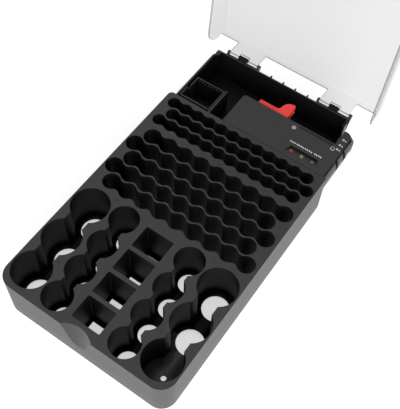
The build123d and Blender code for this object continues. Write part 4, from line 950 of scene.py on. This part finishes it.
def make_slider_contact():
    """Metal strip on the moving jaw, folded under it."""
    strip = Moulding()
    x0, x1, under = SLIDER_X1 - SLIDER_T, SLIDER_X1 + STRIP_T, JAW_FOOT - STRIP_T
    fold = [(SLIDER_X1, JAW_FOOT), (x0, JAW_FOOT), (x0, under), (x1, under),
            (x1, JAW_FOOT + STRIP_RISE), (SLIDER_X1, JAW_FOOT + STRIP_RISE)]
    ends = (SLIDER_Y0 + STRIP_IN_FRONT, SLIDER_Y1 - STRIP_IN_BACK)
    near, far = [[(x, y, z) for x, z in fold] for y in ends]
    strip.rows([far, near])
    # the two ends: the fold's profile is a fan of triangles about its inner corner
    fan = [(0, i, i + 1) for i in range(1, len(fold) - 1)]
    strip.faces += [list(t) for t in fan] + [[len(fold) + i for i in reversed(t)] for t in fan]
    strip.kinds += [0] * (2 * len(fan))
    return strip.piece("slider_contact_folded", "slider", [nickel])


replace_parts(make_slider(), "slider")
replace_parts(make_slider_contact(), "slider_contact")

# ================================================================ carried-over nodes
FINISHES = {
    "coin_box": black_smooth, "tester_top": tester_top_painted_light, "tester_base": tester_side,
    "tester_screws": zinc, "circuit_board": green_board, "board_components": epoxy_black,
    "slider_wiper": nickel, "contact_rail": nickel, "jaw_contact": nickel, "side_contact": nickel,
    "nine_volt_contact_front": bronze, "nine_volt_contact_rear": bronze,
}
BROKEN_EDGES = {"coin_box": 0.2, "tester_top": 0.25, "tester_base": 0.3}      # width of each bevel
for name, finish in FINISHES.items():
    obj = nodes[name]
    obj.data.materials.clear()
    obj.data.materials.append(finish)
    if name in BROKEN_EDGES:
        bevel = obj.modifiers.new("broken edges", "BEVEL")
        bevel.width = BROKEN_EDGES[name] * MM
        bevel.segments = 2
        bevel.limit_method = "ANGLE"
        bevel.angle_limit = math.radians(40)
        bevel.harden_normals = False

# ================================================================ floor, light and camera
TABLE_HALF, TABLE_Z = 2000.0, -0.3
CAMERA_PLACE = (186.15, -283.62, 585.72)
CAMERA_FORWARD, CAMERA_ROLL = (-0.2785, 0.4463, -0.8504), math.radians(3.34)


def background_rays(tree):
    """1 for rays that show the background: from the camera, off gloss, or through the clear cover."""
    path = node(tree, "ShaderNodeLightPath")
    seen = path.outputs["Is Camera Ray"]
    for kind in ("Is Glossy Ray", "Is Transmission Ray"):
        both = node(tree, "ShaderNodeMath", [(0, seen), (1, path.outputs[kind])], operation="MAXIMUM")
        seen = both.outputs[0]
    return seen


def make_floor():
    """White table: it shades the object's shadow and reads white elsewhere."""
    half = TABLE_HALF
    mesh = bpy.data.meshes.new("table")
    corners = [(-half, -half), (half, -half), (half, half), (-half, half)]
    mesh.from_pydata([(x * MM, y * MM, TABLE_Z * MM) for x, y in corners], [], [(0, 1, 2, 3)])
    table = bpy.data.objects.new("table", mesh)
    bpy.context.scene.collection.objects.link(table)
    # uncoated paper: plain white with no shine, so that only the shadow draws on it
    material, tree = blank("paper_white_uncoated")
    paper = node(tree, "ShaderNodeBsdfDiffuse", [("Color", rgb("#E6E6E6"))])
    glow = node(tree, "ShaderNodeEmission", [("Color", rgb("#FFFFFF")), ("Strength", 0.55)])
    lit = node(tree, "ShaderNodeAddShader", [(0, paper.outputs[0]), (1, glow.outputs[0])])
    pick = node(tree, "ShaderNodeMixShader", [
        (0, background_rays(tree)), (1, paper.outputs[0]), (2, lit.outputs[0])])
    node(tree, "ShaderNodeOutputMaterial", [("Surface", pick.outputs[0])])
    mesh.materials.append(material)


def make_world():
    """Soft light from all round, behind a background that reads white."""
    world = bpy.data.worlds.new("studio")
    bpy.context.scene.world = world
    world.use_nodes = True
    tree = world.node_tree
    tree.nodes.clear()
    soft = node(tree, "ShaderNodeBackground", [("Color", rgb("#FFFFFF")), ("Strength", 0.7)])
    white = node(tree, "ShaderNodeBackground", [("Color", rgb("#FFFFFF")), ("Strength", 1.0)])
    pick = node(tree, "ShaderNodeMixShader", [
        (0, background_rays(tree)), (1, soft.outputs[0]), (2, white.outputs[0])])
    node(tree, "ShaderNodeOutputWorld", [("Surface", pick.outputs[0])])


def lamp(name, place, target, size, watts):
    data = bpy.data.lights.new(name, "AREA")
    data.shape = "DISK"
    data.size = size * MM
    data.energy = watts
    obj = bpy.data.objects.new(name, data)
    obj.location = Vector(place) * MM
    obj.rotation_euler = (Vector(target) - Vector(place)).to_track_quat("-Z", "Y").to_euler()
    obj.visible_glossy = False        # its mirror image would turn the deck white from behind
    bpy.context.scene.collection.objects.link(obj)


def make_camera():
    """Camera above the right front corner, leaning a little, as the photograph was taken."""
    data = bpy.data.cameras.new("camera")
    data.lens = 67.03
    data.sensor_width = 36.0
    data.clip_end = 20.0
    obj = bpy.data.objects.new("camera", data)
    forward = Vector(CAMERA_FORWARD).normalized()
    right = forward.cross(Vector((0, 0, 1))).normalized()
    up = right.cross(forward)
    tilted_right = right * math.cos(CAMERA_ROLL) + up * math.sin(CAMERA_ROLL)
    tilted_up = up * math.cos(CAMERA_ROLL) - right * math.sin(CAMERA_ROLL)
    turn = Matrix((tilted_right, tilted_up, -forward)).transposed().to_4x4()
    obj.matrix_world = Matrix.Translation(Vector(CAMERA_PLACE) * MM) @ turn
    bpy.context.scene.collection.objects.link(obj)
    bpy.context.scene.camera = obj


make_floor()
make_world()
lamp("key", place=(900, -1100, 500), target=(0, 0, 20), size=900, watts=22)
make_camera()
bpy.context.scene.view_settings.view_transform = "Standard"
